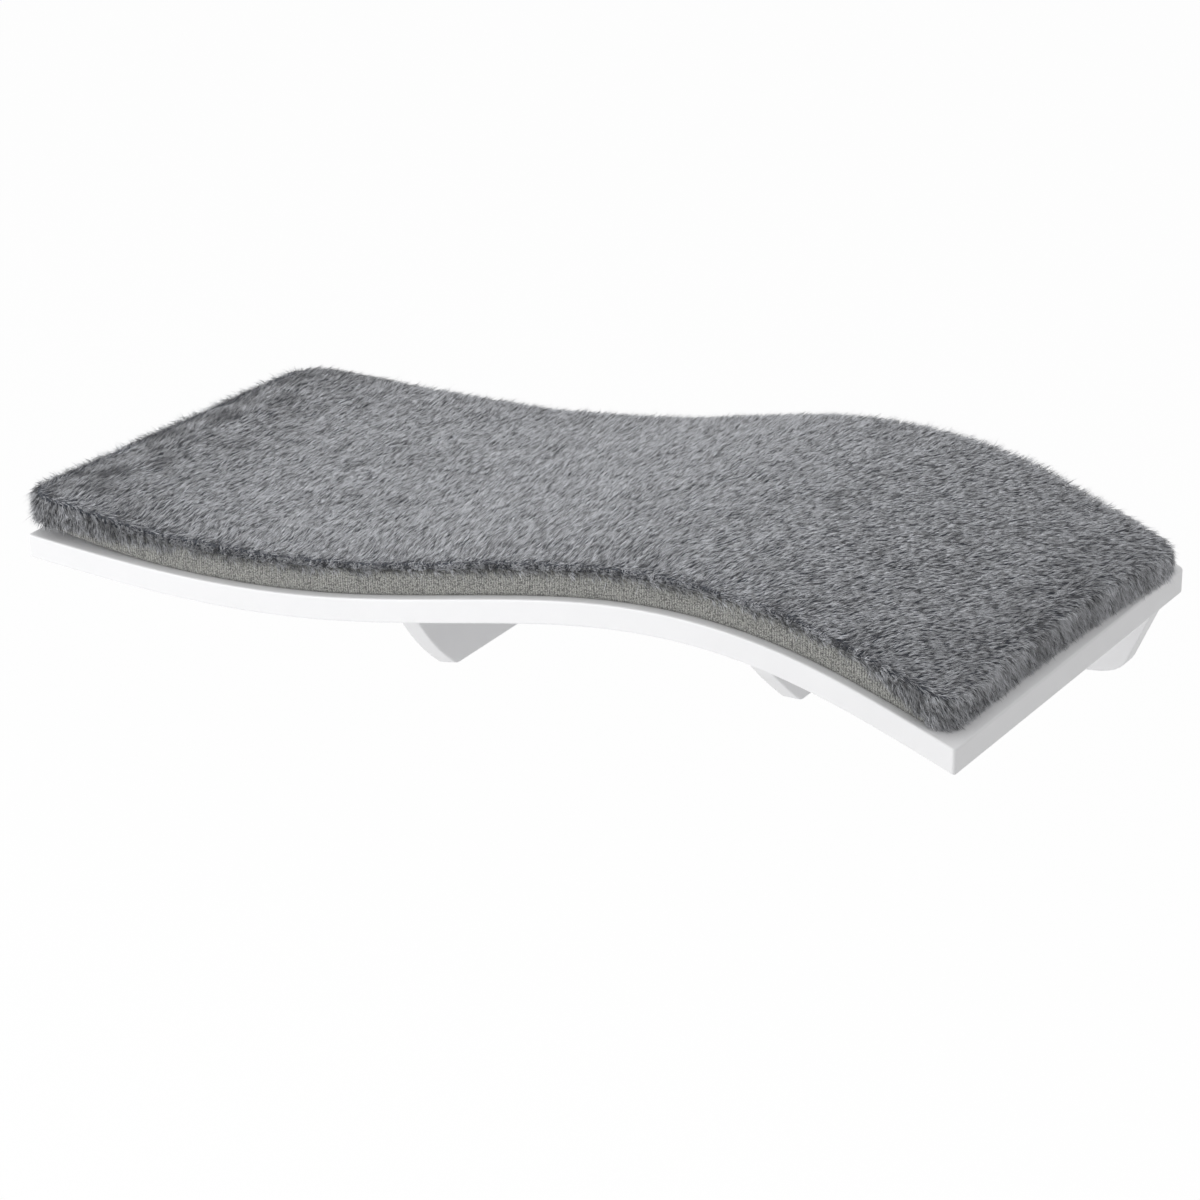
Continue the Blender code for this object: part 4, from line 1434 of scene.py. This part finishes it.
@dataclass
class PlushTop:
    """The plush cover's own body: a crowned, stuffed skin that the pile grows from."""

    plan: PadPlan
    low: float = 0.0158
    edge: float = 0.0185
    crown: float = 0.0030
    bunching: float = 0.0050
    bunch_place: float = -0.180
    bunch_reach: float = 0.150
    bunch_rise: tuple[float, float] = (0.65, 0.35)
    bunch_least: float = 0.3
    end_sink: float = 0.0036
    end_reach: float = 0.034
    corner_sink: float = 0.0025
    corner_reach: float = 0.032
    thinnest: float = 0.0010
    overhang: float = 0.0008
    rim_round: float = 0.0013
    rim_segments: int = 2
    step: float = 0.007
    pressure: float = 4.0
    stuffing_hold: float = 0.2
    rim_hold: float = 0.018
    slack: float = 0.003
    frames: int = 20
    ripple: float = 0.0007
    ripple_size: float = 0.045
    ripple_layer: float = 3.0
    finish: PlushBacking = PlushBacking()

    def build(self) -> bpy.types.Object:
        """Models, swells and dresses the skin.

        Returns:
            The finished skin, for the pile to grow on.
        """
        plan = self.plan
        bm = plan.slab(-self.overhang, self.low, self.edge, self.step)
        plan.rounded(bm, self.rim_round, self.rim_segments)
        skin = finished(bm, "pad_plush_body")
        points = points_of(skin.data)
        top = points[:, 2] > (self.low + self.edge) / 2
        share = (points[:, 2] - self.low) / (self.edge - self.low)
        fullness = self.crown_over(points) + self.ripple_over(points)
        points[:, 2] += share * np.maximum(fullness, self.thinnest - (self.edge - self.low))
        bed = plan.bed
        rim = nearness(bed.gaps(points[:, 0], points[:, 1]).min(1), self.rim_hold)
        hold = np.where(top, self.stuffing_hold + (1.0 - self.stuffing_hold) * rim, 1.0)
        move_points(skin.data, bed.bend(plan.drawn_in(points)))
        self.swell(skin, top, hold)
        finer = skin.modifiers.new("finer", "SUBSURF")
        finer.levels = finer.render_levels = 1
        skin.data.shade_smooth()
        coat(skin, self.finish.make("plush_backing"))
        show(skin, Body.PAD, "pad_plush_top")
        return skin

    def crown_over(self, points: np.ndarray) -> np.ndarray:
        """The crown: full in the wave's hollow, and sunk at the ends and at the front left corner.

        Args:
            points: The skin's points, flat.

        Returns:
            How much higher the top is over each.
        """
        bed = self.plan.bed
        x, y = (2 * (points[:, axis] - bed.middle[axis]) / bed.span[axis] for axis in (0, 1))
        crown = self.crown * np.clip(1 - x ** 4, 0, 1) * np.clip(1 - y ** 2, 0, 1)
        hollow = np.clip((points[:, 0] - self.bunch_place) / self.bunch_reach, -1.0, 1.0)
        rearward = np.clip(self.bunch_rise[0] + self.bunch_rise[1] * y, self.bunch_least, 1.0)
        bunch = self.bunching * np.cos(hollow * math.pi / 2) ** 2 * rearward
        gaps = bed.gaps(points[:, 0], points[:, 1])
        sunk = self.end_sink * nearness(gaps[:, :2].min(1), self.end_reach) ** 2
        corner = np.hypot(gaps[:, 0], gaps[:, 2])
        return crown + bunch - sunk - self.corner_sink * nearness(corner, self.corner_reach) ** 2

    def ripple_over(self, points: np.ndarray) -> np.ndarray:
        """Soft unevenness of the stuffing."""
        size, layer = self.ripple_size, self.ripple_layer
        return np.array([self.ripple * noise.noise((x / size, y / size, layer)) for x, y, _ in points])

    def swell(self, skin: bpy.types.Object, top: np.ndarray, hold: np.ndarray) -> None:
        """Fills the skin out as cloth, its underside and rim held fast and its top held by the stuffing.

        Args:
            skin: The plush body.
            top: Which of its points are on its upper side.
            hold: How firmly each point is held, from 0 to 1.
        """
        before = points_of(skin.data)
        group = skin.vertex_groups.new(name="held")
        for index, firmness in enumerate(hold.tolist()):
            group.add([index], firmness, "REPLACE")
        cloth = skin.modifiers.new("cloth", "CLOTH")
        cloth.settings.vertex_group_mass = group.name
        cloth.settings.use_pressure = True
        cloth.settings.uniform_pressure_force = self.pressure
        cloth.settings.effector_weights.gravity = 0.0
        cloth.settings.shrink_min = -self.slack
        cloth.point_cache.frame_end = self.frames
        scene = bpy.context.scene
        for step in range(1, self.frames + 1):
            scene.frame_set(step)
        settle(skin)
        scene.frame_set(1)
        moved = np.linalg.norm(points_of(skin.data) - before, axis=1)[top]
        LOG.info("plush skin filled out by %.1f mm, at most %.1f mm", 1000 * moved.mean(), 1000 * moved.max())


@dataclass
class Pile:
    """The plush pile: undercoat, longer hairs and, at the left and rear edges, fine wisps, laid aslant."""

    plan: PadPlan
    per_area: float = 1_400_000.0
    hair_share: float = 0.40
    wisp_share: float = 0.40
    under_length: float = 0.0046
    hair_length: float = 0.0056
    wisp_length: float = 0.0070
    length_spread: float = 0.15
    edge_stretch: float = 0.35
    lean: float = math.radians(24.0)
    lean_spread: float = math.radians(7.0)
    lay_left: float = math.radians(52.0)
    lay_right: float = math.radians(34.0)
    lay_spread: float = math.radians(16.0)
    tuft: tuple[float, float] = (0.0017, 0.0009)
    tuft_turn: float = math.radians(48.0)
    tuft_scatter: float = 0.0005
    tuft_pull: tuple[float, float] = (0.35, 0.95)
    # Painted shade: a share of the tufts is darkened, and by how much, for the shaded gaps between tufts.
    gap_shade_share: float = 0.27
    gap_shade_depth: float = 0.62
    stray: float = 0.0003
    muddle: float = math.radians(32.0)
    edge_width: float = 0.008
    soft_width: float = 0.014
    ruffle_width: float = 0.045
    ruffle_lean: float = math.radians(30.0)
    side_density: float = 1.8
    side_length: float = 1.10
    side_top: float = 0.0172
    side_lean: tuple[float, float] = (math.radians(44.0), math.radians(20.0))
    end_lean: tuple[float, float] = (math.radians(52.0), math.radians(42.0))
    side_blend: float = 0.007
    hem_low: float = 0.0010
    hem_high: float = 0.0142
    hem_wave: float = 0.0010
    hem_scatter: float = 0.0007
    left_cover: tuple[float, float] = (0.012, 0.100)
    right_cover: tuple[float, float] = (0.008, 0.045)
    end_stretch: float = 0.15
    end_turn: float = 0.5
    front_turn: float = 0.30
    roll_turn: float = 2.4
    # Painted shade: the pile on the sides is darker than on the top.
    side_painted_shade: tuple[float, float] = (0.05, 0.07)
    # Painted shade towards the left end, in blotches.
    left_painted_shade: float = 0.32
    # Painted shade, in patches, along the front rim and on the sides.
    rim_painted_shade: float = 0.24
    drift: float = 1.1
    droop: tuple[float, float] = (-0.8, 1.0)
    droop_reach: float = 0.004
    board: tuple[tuple[float, ...], tuple[float, ...]] = field(default_factory=lambda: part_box("shelf_board"))
    board_gap: float = 0.0003
    wall_gap: float = 0.0008
    steep: float = 0.6
    lowest: float = -0.3
    tiny_area: float = 1e-12
    cover_power: float = 0.7
    lay_change: tuple[float, float] = (0.45, 0.35)
    end_ease: float = 0.8
    end_push: float = 0.3
    lean_draws: tuple[float, float] = (0.6, 0.8)
    muddle_shares: tuple[float, float, float] = (0.15, 0.35, 0.6)
    edge_lean: float = 0.3
    pull_ease: float = 0.7
    roll_spread: float = 0.25
    mean_shade: float = 0.81
    shade_swing: float = 0.08
    # Painted shade: the ruffled pile near the edges is darker.
    ruffle_painted_shade: float = 0.16
    # Painted shade on the undercoat, under the longer hairs.
    under_painted_shade: float = 0.06
    tuft_shade_spread: float = 0.10
    hair_shade_spread: float = 0.12
    rim_shade_mix: tuple[float, float] = (0.25, 1.2)
    shade_limits: tuple[float, float] = (0.02, 0.98)
    lay_noise: tuple[float, float] = (0.022, 1.0)
    ruffle_noise: tuple[float, float] = (0.030, 5.0)
    shade_noise: tuple[float, float] = (0.035, 7.0)
    hem_noise: tuple[float, float] = (0.007, 9.0)
    rim_shade_noise: tuple[float, float] = (0.005, 11.0)
    left_shade_noise: tuple[float, float] = (0.018, 13.0)
    zones: int = 12
    seed: int = 7
    under: Stalk = Stalk(3, (0.0, 0.3, 1.0), (0.0001, 0.029, 0.0001), -0.8, 0.0, True)
    hair: Stalk = Stalk(3, (0.0, 0.45, 1.0), (0.0001, 0.021, 0.0001), -0.9, 0.0, True)
    wisp: Stalk = Stalk(3, (0.0, 0.45, 1.0), (0.0001, 0.009, 0.0001), -0.7, 0.0, True)
    finish: PileFibre = PileFibre()

    def scatter(self, skin: bpy.types.Object, draw: np.random.Generator) -> tuple[np.ndarray, np.ndarray]:
        """Spreads roots evenly over the skin's top, and closer together round its rim.

        Args:
            skin: The plush body.
            draw: The seeded generator.

        Returns:
            The roots and the skin's normals there.
        """
        mesh = skin.data
        mesh.calc_loop_triangles()
        corners = rows_of(mesh.loop_triangles, "vertices", 3, np.int32)
        points = points_of(mesh)
        normals = rows_of(mesh.vertices, "normal", 3).astype(float)
        a, b, c = (points[corners[:, k]] for k in range(3))
        cross = np.cross(b - a, c - a)
        area = np.linalg.norm(cross, axis=1) / 2
        rise = cross[:, 2] / np.maximum(2 * area, self.tiny_area)
        weight = area * np.where(rise > self.steep, 1.0, self.side_density) * (rise > self.lowest)
        total = int(weight.sum() * self.per_area)
        chosen = draw.choice(len(corners), total, p=weight / weight.sum())
        u, v = draw.random((2, total))
        fold = u + v > 1.0
        u[fold], v[fold] = 1.0 - u[fold], 1.0 - v[fold]
        shares = np.column_stack((1.0 - u - v, u, v))[:, :, None]
        roots = (points[corners[chosen]] * shares).sum(1)
        return roots, unit((normals[corners[chosen]] * shares).sum(1))

    def noise_over(self, roots: np.ndarray, size: float, layer: float) -> np.ndarray:
        """Smooth noise, about -1 to 1, over places in plan."""
        return np.array([noise.noise((x / size, y / size, layer)) for x, y, _ in roots])

    def edges(self, roots: np.ndarray, width: float) -> np.ndarray:
        """How near each root is to the left, right, front and rear edge, from 0 to 1 at the edge itself."""
        bed = self.plan.bed
        x, y, _ = (roots - bed.slip(roots[:, 0], roots[:, 1])).T
        return nearness(bed.gaps(x, y), width)

    def bare(self, spot: np.ndarray) -> np.ndarray:
        """How far the pile leaves the sides bare, from 0 at the ends to 1 between them."""
        bed = self.plan.bed
        left = np.clip((spot[:, 0] - bed.left - self.left_cover[0]) / self.left_cover[1], 0.0, 1.0)
        right = np.clip((bed.right - spot[:, 0] - self.right_cover[0]) / self.right_cover[1], 0.0, 1.0)
        return np.minimum(left, right) ** self.cover_power

    def scatter_sides(self, draw: np.random.Generator) -> tuple[np.ndarray, np.ndarray, np.ndarray]:
        """Spreads roots over the pad's sides, from the rim down to the pile's hem.

        Args:
            draw: The seeded generator.

        Returns:
            The roots, the sides' normals there, and how far below the rim each root is.
        """
        bed = self.plan.bed
        girth = float(self.plan.outline()[0][-1])
        count = int(girth * (self.side_top - self.hem_low) * self.per_area * self.side_density)
        spot, outward = self.plan.beside(draw.uniform(0.0, girth, count))
        height = draw.uniform(self.hem_low, self.side_top, count)
        hem = self.hem_low + (self.hem_high - self.hem_low) * self.bare(spot)
        hem = hem + self.hem_wave * self.noise_over(np.column_stack((spot, height)), *self.hem_noise)
        kept = height > hem + draw.normal(0.0, self.hem_scatter, count)
        flat = np.column_stack((spot, height))[kept]
        out = np.column_stack((outward, np.zeros(count)))[kept]
        roots = bed.bend(flat)
        return roots, unit(bed.bend(flat + out * 1e-4) - roots), self.side_top - flat[:, 2]

    def heading(self, roots: np.ndarray, normals: np.ndarray, lean: np.ndarray, near: np.ndarray,
                muddle: np.ndarray, depth: np.ndarray, full: np.ndarray) -> np.ndarray:
        """Which way each hair points: laid over on the top, outwards at the ends and down at the sides.

        Args:
            roots: The roots.
            normals: The skin's normals there.
            lean: Each hair's angle from the skin.
            near: How near each root is to the four edges.
            muddle: Each hair's own turn away from the lay.
            depth: How far below the rim each root is.
            full: How far the pile covers the side there; where it does, the hairs roll over the front rim.

        Returns:
            Unit rows.
        """
        bed = self.plan.bed
        level = np.zeros(len(roots))
        across = np.clip((roots[:, 0] - bed.left) / (bed.right - bed.left), 0.0, 1.0)
        blend = np.clip((across - self.lay_change[0]) / self.lay_change[1], 0.0, 1.0)
        lay = self.lay_left + (self.lay_right - self.lay_left) * blend
        lay = lay + self.lay_spread * self.noise_over(roots, *self.lay_noise) + muddle
        along = np.column_stack((np.cos(lay), np.sin(lay), level))
        forward = (self.front_turn + (self.roll_turn - self.front_turn) * full) * near[:, 2]
        out = np.column_stack((near[:, 1] - near[:, 0], self.front_turn * near[:, 3] - forward, level))
        outwards = self.end_turn + self.end_push * near[:, :1]
        along = along * (1.0 - self.end_ease * near[:, :1]) + out * outwards
        along = along - normals * (along * normals).sum(1, keepdims=True)
        side = 1.0 - np.clip(normals[:, 2:3], 0.0, 1.0) ** 2
        aslant = np.column_stack((normals[:, 1], -normals[:, 0], level)) * muddle[:, None]
        drift = np.column_stack((normals[:, 1] ** 2, -normals[:, 0] * normals[:, 1], level)) * self.drift
        fall = np.clip(depth / self.droop_reach + np.maximum(normals[:, 0] ** 2, full), 0.0, 1.0)
        droop = self.droop[0] + (self.droop[1] - self.droop[0]) * fall
        down = np.column_stack((level, level, -droop))
        over = unit(along) * (1.0 - side) + (aslant + drift + down) * side
        return unit(unit(over) * np.cos(lean)[:, None] + normals * np.sin(lean)[:, None])

    def tufts(self, spread: np.ndarray, draw: np.random.Generator) -> tuple[np.ndarray, int]:
        """Gives each hair its nearest tuft, on a jittered grid with the pad's sides spread out flat."""
        along, across = self.tuft
        cosine, sine = math.cos(self.tuft_turn), math.sin(self.tuft_turn)
        place = np.column_stack(((spread[:, 0] * cosine + spread[:, 1] * sine) / along,
                                 (spread[:, 1] * cosine - spread[:, 0] * sine) / across))
        place = place - place.min(0) + 2.0
        cells = np.floor(place).astype(int)
        size = cells.max(0) + 3
        centres = draw.random((*size, 2))
        best = np.full(len(spread), np.inf)
        group = np.zeros(len(spread), int)
        for dx in (-1, 0, 1):
            for dy in (-1, 0, 1):
                x, y = cells[:, 0] + dx, cells[:, 1] + dy
                gap = ((place - np.column_stack((x, y)) - centres[x, y]) ** 2).sum(1)
                nearer = gap < best
                best[nearer] = gap[nearer]
                group[nearer] = (x * size[1] + y)[nearer]
        return group, int(size[0] * size[1])

    def clear_of_shelf(self, tips: np.ndarray) -> np.ndarray:
        """Keeps the tips in front of the wall and, where the board is below them, over its face."""
        bed = self.plan.bed
        low, high = self.board
        face = np.interp(tips[:, 0], bed.xs, bed.zs) - bed.level + self.board_gap
        above = (tips[:, 0] > low[0]) & (tips[:, 0] < high[0]) & (tips[:, 1] > low[1])
        cleared = tips.copy()
        cleared[:, 2] = np.where(above, np.maximum(tips[:, 2], face), tips[:, 2])
        cleared[:, 1] = np.minimum(tips[:, 1], -self.wall_gap)
        return cleared

    def build(self, skin: bpy.types.Object) -> None:
        """Grows the pile on the skin, zone by zone.

        Args:
            skin: The finished plush body.
        """
        draw = np.random.default_rng(self.seed)
        roots, normals = self.scatter(skin, draw)
        side_roots, side_normals, side_depth = self.scatter_sides(draw)
        depth = np.concatenate((np.zeros(len(roots)), side_depth))
        roots = np.concatenate((roots, side_roots))
        normals = np.concatenate((normals, side_normals))
        count = len(roots)
        kind = (draw.random(count) < self.hair_share).astype(int)
        near = self.edges(roots, self.edge_width)
        edge = near.max(1)
        soft = self.edges(roots, self.soft_width).max(1)
        ruffled = 0.5 + self.noise_over(roots, *self.ruffle_noise)
        ruffled = ruffled * self.edges(roots, self.ruffle_width).max(1)
        side = 1.0 - np.clip(normals[:, 2], 0.0, 1.0) ** 2
        full = np.maximum(1.0 - self.bare(roots), normals[:, 0] ** 2 * side)
        kind[draw.random(count) < self.wisp_share * near[:, (0, 3)].max(1)] = 2
        length = np.array((self.under_length, self.hair_length, self.wisp_length))[kind]
        length = length * (1.0 + self.length_spread * draw.uniform(-1.0, 1.0, count))
        length = length * (1.0 + side * (self.end_stretch * full + (self.side_length - 1.0) * (1.0 - full)))
        length = length * (1.0 + self.edge_stretch * np.maximum(edge, side * full) * draw.random(count) ** 3)
        group, groups = self.tufts(roots[:, :2] + normals[:, :2] * depth[:, None], draw)
        lowered = np.clip(depth / self.side_blend, 0.0, 1.0)
        plain, fluffy = (high + (low - high) * lowered for high, low in (self.side_lean, self.end_lean))
        lean = self.lean * (1.0 - 0.8 * edge) * (1.0 - side) + (plain + (fluffy - plain) * full) * side
        own, shared = self.lean_draws
        stirred = draw.normal(0.0, own, count) + draw.normal(0.0, shared, groups)[group]
        lean = lean + self.lean_spread * stirred
        lean = lean + self.ruffle_lean * ruffled * (1.0 - edge)
        least, by_ruffle, by_edge = self.muddle_shares
        muddle = self.muddle * draw.normal(0.0, 1.0, count) * (least + by_ruffle * ruffled + by_edge * edge)
        lean = lean + self.edge_lean * self.muddle * draw.normal(0.0, 1.0, count) * edge
        tips = roots + self.heading(roots, normals, lean, near, muddle, depth, full) * length[:, None]
        gathered = mean_by_group(tips, group, groups) + draw.normal(0.0, self.tuft_scatter, (groups, 3))
        pull = draw.uniform(*self.tuft_pull, groups)[group] * (1.0 - self.pull_ease * np.maximum(side, soft))
        tips = tips * (1.0 - pull[:, None]) + gathered[group] * pull[:, None]
        tips = self.clear_of_shelf(tips + draw.normal(0.0, self.stray, (count, 3)))
        # Painted shade: a share of the tufts darker, for the shaded gaps between tufts.
        dark = (draw.random(groups) < self.gap_shade_share) * self.gap_shade_depth
        dark = dark + self.tuft_shade_spread * draw.normal(0.0, 1.0, groups)
        shade = self.mean_shade + self.shade_swing * self.noise_over(roots, *self.shade_noise)
        # Painted shade: the ruffled pile near the edges is darker, on top of the dark tufts.
        shade = shade - dark[group] - self.ruffle_painted_shade * ruffled
        # Painted shade: the pile on the pad's sides is darker than on its top.
        side_shade_depth = self.side_painted_shade[0] + (self.side_painted_shade[1] - self.side_painted_shade[0]) * full
        # Painted shade, in patches, along the front rim and on the sides.
        patch = self.rim_shade_mix[0] + self.rim_shade_mix[1] * self.noise_over(roots, *self.rim_shade_noise)
        patch = self.rim_painted_shade * patch
        shade = shade + draw.normal(0.0, self.hair_shade_spread, count) - side_shade_depth * side
        shade = shade - patch * np.maximum(side, near[:, 2])
        # Painted shade, in blotches, towards the left end.
        left_shade_blotch = self.left_painted_shade * (1.0 + 2.0 * self.noise_over(roots, *self.left_shade_noise))
        left = self.edges(roots, 2.0 * self.ruffle_width)[:, 0]
        # Painted shade on the undercoat, under the longer hairs.
        shade = shade - self.under_painted_shade * (kind == 0) - left_shade_blotch * left
        chord = tips - roots
        turns = turns_to(unit(chord), normals + draw.normal(0.0, self.roll_spread, (count, 3)))
        reach = np.linalg.norm(chord, axis=1)
        planting = Planting([self.under.build("undercoat"), self.hair.build("hair"), self.wisp.build("wisp")])
        material = self.finish.make("plush")
        order = np.argsort(roots[:, 0], kind="stable")
        for zone, members in enumerate(np.array_split(order, self.zones), 1):
            piece = planting.plant(f"plush_pile_{zone:02d}", roots[members], turns[members], reach[members],
                                   np.clip(shade[members], *self.shade_limits), kind[members])
            coat(piece, material)
            show(piece, Body.PAD)
        planting.clear()


@dataclass
class Pad:
    """The lift-off pad, from its base cloth to its pile."""

    plan: PadPlan

    def build(self) -> None:
        """Builds and dresses the pad's layers from the bottom up."""
        PadLayers(self.plan).build()
        SideBand(self.plan).build()
        skin = PlushTop(self.plan).build()
        Pile(self.plan).build(skin)


# Studio


@dataclass
class Studio:
    """A pale floor, soft light all round, a broad lamp in front and the camera."""

    camera_place: tuple[float, float, float] = (1.2149, -2.0835, 1.0386)
    camera_tilt: float = math.radians(90.0 - 24.148)
    camera_turn: float = math.radians(31.912)
    lens: float = 132.87
    sensor_width: float = 36.0
    floor_level: float = -0.75
    floor_size: float = 14.0
    ambient: float = 0.56

    def lamp(self, name: str, place: tuple[float, float, float], size: float, watts: float) -> None:
        """Adds a square soft lamp that faces the object."""
        data = bpy.data.lights.new(name, "AREA")
        data.size = size
        data.energy = watts
        lamp = placed(name, data)
        lamp.location = place
        lamp.rotation_euler = (-Vector(place)).to_track_quat("-Z", "Y").to_euler()

    def seen(self, nodes: bpy.types.Nodes, links: bpy.types.NodeLinks) -> bpy.types.NodeSocket:
        """1 for rays that come from the camera, a mirror or glass, and 0 for light."""
        path = nodes.new("ShaderNodeLightPath")
        total = path.outputs["Is Camera Ray"]
        for other in ("Is Glossy Ray", "Is Transmission Ray"):
            larger = nodes.new("ShaderNodeMath")
            larger.operation = "MAXIMUM"
            links.new(total, larger.inputs[0])
            links.new(path.outputs[other], larger.inputs[1])
            total = larger.outputs[0]
        return total

    def sky(self) -> None:
        """A white surround that shows as pure white and lights at the ambient level."""
        world = bpy.data.worlds.new("surround")
        bpy.context.scene.world = world
        world.use_nodes = True
        nodes, links = world.node_tree.nodes, world.node_tree.links
        light = nodes["Background"]
        light.inputs["Color"].default_value = (1.0, 1.0, 1.0, 1.0)
        light.inputs["Strength"].default_value = self.ambient
        white = nodes.new("ShaderNodeBackground")
        white.inputs["Color"].default_value = (1.0, 1.0, 1.0, 1.0)
        mix = nodes.new("ShaderNodeMixShader")
        links.new(self.seen(nodes, links), mix.inputs[0])
        links.new(light.outputs[0], mix.inputs[1])
        links.new(white.outputs[0], mix.inputs[2])
        links.new(mix.outputs[0], nodes["World Output"].inputs["Surface"])

    def floor(self) -> None:
        """A pale floor well below the shelf; it shows white and keeps a faint shadow."""
        bm = bmesh.new()
        bmesh.ops.create_grid(bm, x_segments=8, y_segments=8, size=self.floor_size / 2,
                              matrix=Matrix.Translation((0.0, 0.0, self.floor_level)))
        floor = finished(bm, "studio_floor")
        material = bpy.data.materials.new("studio_white")
        material.use_nodes = True
        nodes, links = material.node_tree.nodes, material.node_tree.links
        paint = nodes["Principled BSDF"]
        paint.inputs["Base Color"].default_value = (0.93, 0.93, 0.93, 1.0)
        paint.inputs["Roughness"].default_value = 0.9
        glow = nodes.new("ShaderNodeEmission")
        glow.inputs["Strength"].default_value = 1.03
        mostly = nodes.new("ShaderNodeMath")
        mostly.operation = "MULTIPLY"
        links.new(self.seen(nodes, links), mostly.inputs[0])
        mostly.inputs[1].default_value = 0.9
        mix = nodes.new("ShaderNodeMixShader")
        links.new(mostly.outputs[0], mix.inputs[0])
        links.new(paint.outputs[0], mix.inputs[1])
        links.new(glow.outputs[0], mix.inputs[2])
        links.new(mix.outputs[0], nodes["Material Output"].inputs["Surface"])
        floor.data.materials.append(material)

    def build(self) -> None:
        """Sets up floor, light and camera."""
        self.floor()
        self.sky()
        self.lamp("front_lamp", (-1.75, -2.72, 0.55), 3.0, 60.0)
        self.lamp("top_lamp", (-0.05, -0.2, 0.85), 0.5, 2.0)
        camera = placed("camera", bpy.data.cameras.new("camera"))
        camera.location = self.camera_place
        camera.rotation_euler = (self.camera_tilt, 0.0, self.camera_turn)
        camera.data.sensor_fit = "HORIZONTAL"
        camera.data.sensor_width = self.sensor_width
        camera.data.lens = self.lens
        bpy.context.scene.camera = camera
        bpy.context.scene.view_settings.view_transform = "Standard"
        LOG.info("studio: floor, light and camera set")


def main() -> None:
    """Builds the whole picture in order."""
    logging.basicConfig(level=logging.INFO, format="%(name)s: %(message)s")
    Studio().build()
    Shelf().dress()
    ScrewSet().build()
    bed = PadBed()
    TapeSet(bed).build()
    Pad(PadPlan(bed)).build()


if __name__ == "__main__":
    main()
